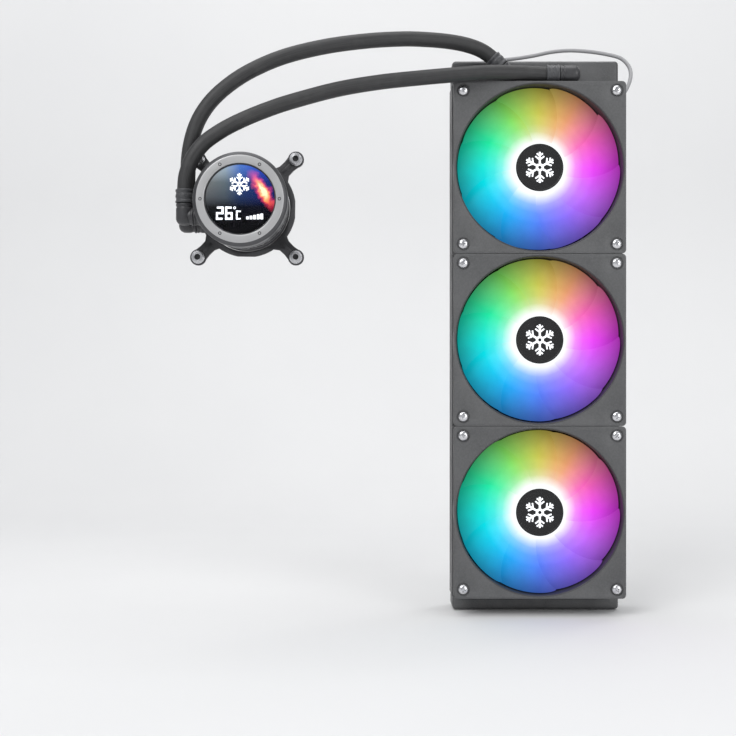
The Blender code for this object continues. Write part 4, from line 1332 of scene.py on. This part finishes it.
def readout():
    """A generic two-digit temperature, as seven-segment strokes, with its degree sign and unit."""
    strokes = {
        "2": ["a", "b", "g", "e", "d"],
        "6": ["a", "f", "g", "e", "c", "d"],
        "C": ["a", "f", "e", "d"],
    }
    segments = {
        "a": ((0, 1), (1, 1)), "b": ((1, 1), (1, 0.5)), "c": ((1, 0.5), (1, 0)), "d": ((0, 0), (1, 0)),
        "e": ((0, 0), (0, 0.5)), "f": ((0, 0.5), (0, 1)), "g": ((0, 0.5), (1, 0.5)),
    }
    bm = bmesh.new()
    depth = (57.62, 57.8)
    for glyph, x, z, wide, tall, thick in (
        ("2", -17.5, -14.6, 4.2, 8.4, 1.5),
        ("6", -10.6, -14.6, 4.2, 8.4, 1.5),
        ("C", -2.6, -14.6, 3.0, 5.6, 1.1),
    ):
        for stroke in strokes[glyph]:
            (x0, z0), (x1, z1) = segments[stroke]
            ax, bx = x + wide * x0, x + wide * x1
            az, bz = z + tall * z0, z + tall * z1
            brick(bm, sorted((ax, bx + 1e-3)) if ax != bx else (ax - thick / 2, ax + thick / 2), depth,
                  (min(az, bz) - thick / 2, max(az, bz) + thick / 2), 0.05, 1,
                  Matrix.Translation(PUMP_AT))
    ring = rounded(
        [(0.55, depth[0]), (1.05, depth[0]), (1.05, depth[1]), (0.55, depth[1])], 0.04, closed=True
    )
    lathe(bm, ring, 24, at(PUMP_X - 4.2, PUMP_H, PUMP_Z - 6.4))
    fixed("display_digits", bm, WORD, "display_screen")
    # A small level gauge of five bars beside the digits.
    bm = bmesh.new()
    for i in range(5):
        brick(
            bm, (4.5 + 2.7 * i, 6.5 + 2.7 * i), depth, (-15.0, -12.9 + 0.55 * i), 0.05, 1,
            Matrix.Translation(PUMP_AT),
        )
    fixed("display_gauge", bm, WORD, "display_screen")
    # A branched star stands over the reading.
    bm = bmesh.new()
    middle = Matrix.Translation(world_point(PUMP_X - 0.5, PUMP_H, PUMP_Z + 11.5))
    star(bm, depth, middle, (0.6, 8.2), ((3.6, 3.0), (6.0, 2.1)), (0.6, 0.45), (0.05, 0.05))
    fixed("display_star", bm, WORD, "display_screen")


def cold_plate():
    """A copper plate with cut corners, fins on its inner side and eight sunk screws."""
    half, chamfer = 28, 7
    outline = [
        (half, -half + chamfer), (half, half - chamfer), (half - chamfer, half), (-half + chamfer, half),
        (-half, half - chamfer), (-half, -half + chamfer), (-half + chamfer, -half), (half - chamfer, -half),
    ]
    outline = rounded([Vector(p) for p in outline], 1.6, 4, closed=True)
    bm = bmesh.new()
    holes = [(24.3 * cos(radians(a)), 24.3 * sin(radians(a))) for a in (45, 135, 225, 315)]
    holes += [(0, 25.2), (0, -25.2), (25.2, 0), (-25.2, 0)]
    prism(bm, [outline, *[circle(x, z, 1.9, 24) for x, z in holes]], 0, 3)
    bm = reopened(bevelled(done("plate", bm, COPPER), 0.35))
    for x in range(-26, 27, 2):
        brick(bm, (x * 0.5 - 0.12, x * 0.5 + 0.12), (2.9, 5.4), (-13, 13), 0)
    obj = done("cold_plate_copper", bm, COPPER, 30)
    obj.location = PUMP_AT
    stands_for(obj, "cooler", "copper", "cold_plate")
    bm = bmesh.new()
    for x, z in holes:
        lathe(
            bm, [(0, 2.6), (1.75, 2.6), (1.75, 0.45), (1.5, 0.2), (0.9, 0.2), (0.85, 1.0), (0, 1.0)], 24,
            at(x, 0, z),
        )
    screws = done("plate_screws", bm, DULL_STEEL, 30)
    screws.location = PUMP_AT
    stands_for(screws, "cooler", "steel")


def bracket():
    """A pressed ring round the housing with four arms, each with a screw eye and a stiffening rib."""
    bm = bmesh.new()
    arm_reach = BOLT_AT * sqrt(2)
    outline = []
    for quarter in range(4):
        a0 = radians(45 + 90 * quarter)
        # Along the ring to the arm, out along its side, round the eye and back.
        for a in range(-36, -9, 4):
            t = a0 + radians(a)
            outline.append((39 * cos(t), 39 * sin(t)))
        eye = []
        for a in range(-120, 121, 15):
            t = radians(a)
            eye.append((arm_reach + 6.5 * cos(t), 6.5 * sin(t)))
        local = [(42.0, -5.2), (47.5, -5.0)] + eye + [(47.5, 5.0), (42.0, 5.2)]
        outline += [(x * cos(a0) - z * sin(a0), x * sin(a0) + z * cos(a0)) for x, z in local]
        for a in range(10, 37, 4):
            t = a0 + radians(a)
            outline.append((39 * cos(t), 39 * sin(t)))
    holes = [circle(sx * BOLT_AT, sz * BOLT_AT, 2.3, 32) for sx in (-1, 1) for sz in (-1, 1)]
    prism(bm, [outline, circle(0, 0, 34.4, 128), *holes], 5, 8)
    bm = reopened(bevelled(done("plate", bm, BRACKET), 0.45))
    for quarter in range(4):
        spin = turned(45 + 90 * quarter)
        brick(bm, (40, 49), (7.9, 8.5), (-1.3, 1.3), 0.3, 2, spin)
    obj = done("bracket_plate", bm, BRACKET, 30)
    obj.location = PUMP_AT
    stands_for(obj, "cooler", "steel", "mounting_bracket")
    # A captive screw in each eye: a washer, a threaded shank, and a knurled light head with a dark socket.
    for n, (sx, sz) in enumerate(CORNERS, 1):
        bm = bmesh.new()
        place = at(PUMP_X + sx * BOLT_AT, PUMP_H, PUMP_Z + sz * BOLT_AT)
        profile = [(0, -6), (1.3, -6), (1.7, -5.4)]
        for i in range(16):
            z = -5.3 + i * 0.6
            profile += [(1.55, z), (1.8, z + 0.3)]
        profile += [
            (1.6, 4.6), (1.8, 8.3), (5.2, 8.3), (5.2, 9.0), (4.6, 9.4), (4.6, 12.2), (4.2, 12.9), (2.5, 13.1),
            (2.3, 12.9), (2.2, 10.4), (0, 10.2),
        ]
        lathe(bm, profile, 36, place)
        for i in range(24):
            notch = place @ turned(15 * i, "Z") @ Matrix.Translation(
                (4.62 * MM, 0, 10.8 * MM)
            )
            lathe(bm, [(0, -1.3), (0.33, -1.3), (0.33, 1.3), (0, 1.3)], 8, notch)
        head = done(f"bracket_screw_{n}", bm, [STEEL, DARK], 30)
        for face in head.data.polygons:
            centre = place.inverted() @ face.center
            if centre.z > 10.0 * MM and hypot(centre.x, centre.y) < 2.35 * MM:
                face.material_index = 1
        stands_for(head, "cooler", "steel", f"mounting_screw_{n}")


# ---------------------------------------------------------------- putting it together

camera()
hoses()
fan_lead()
tanks()
rails()
core()
fans()
pump_head()
for fan_name in FAN_ROWS:
    repaint(fan_name + "_stator", WINDING)
    repaint(fan_name + "_shaft", STEEL)
stage()
lights()
# The Standard view keeps the fans' light as saturated as its colours are.
bpy.context.scene.view_settings.view_transform = "Standard"
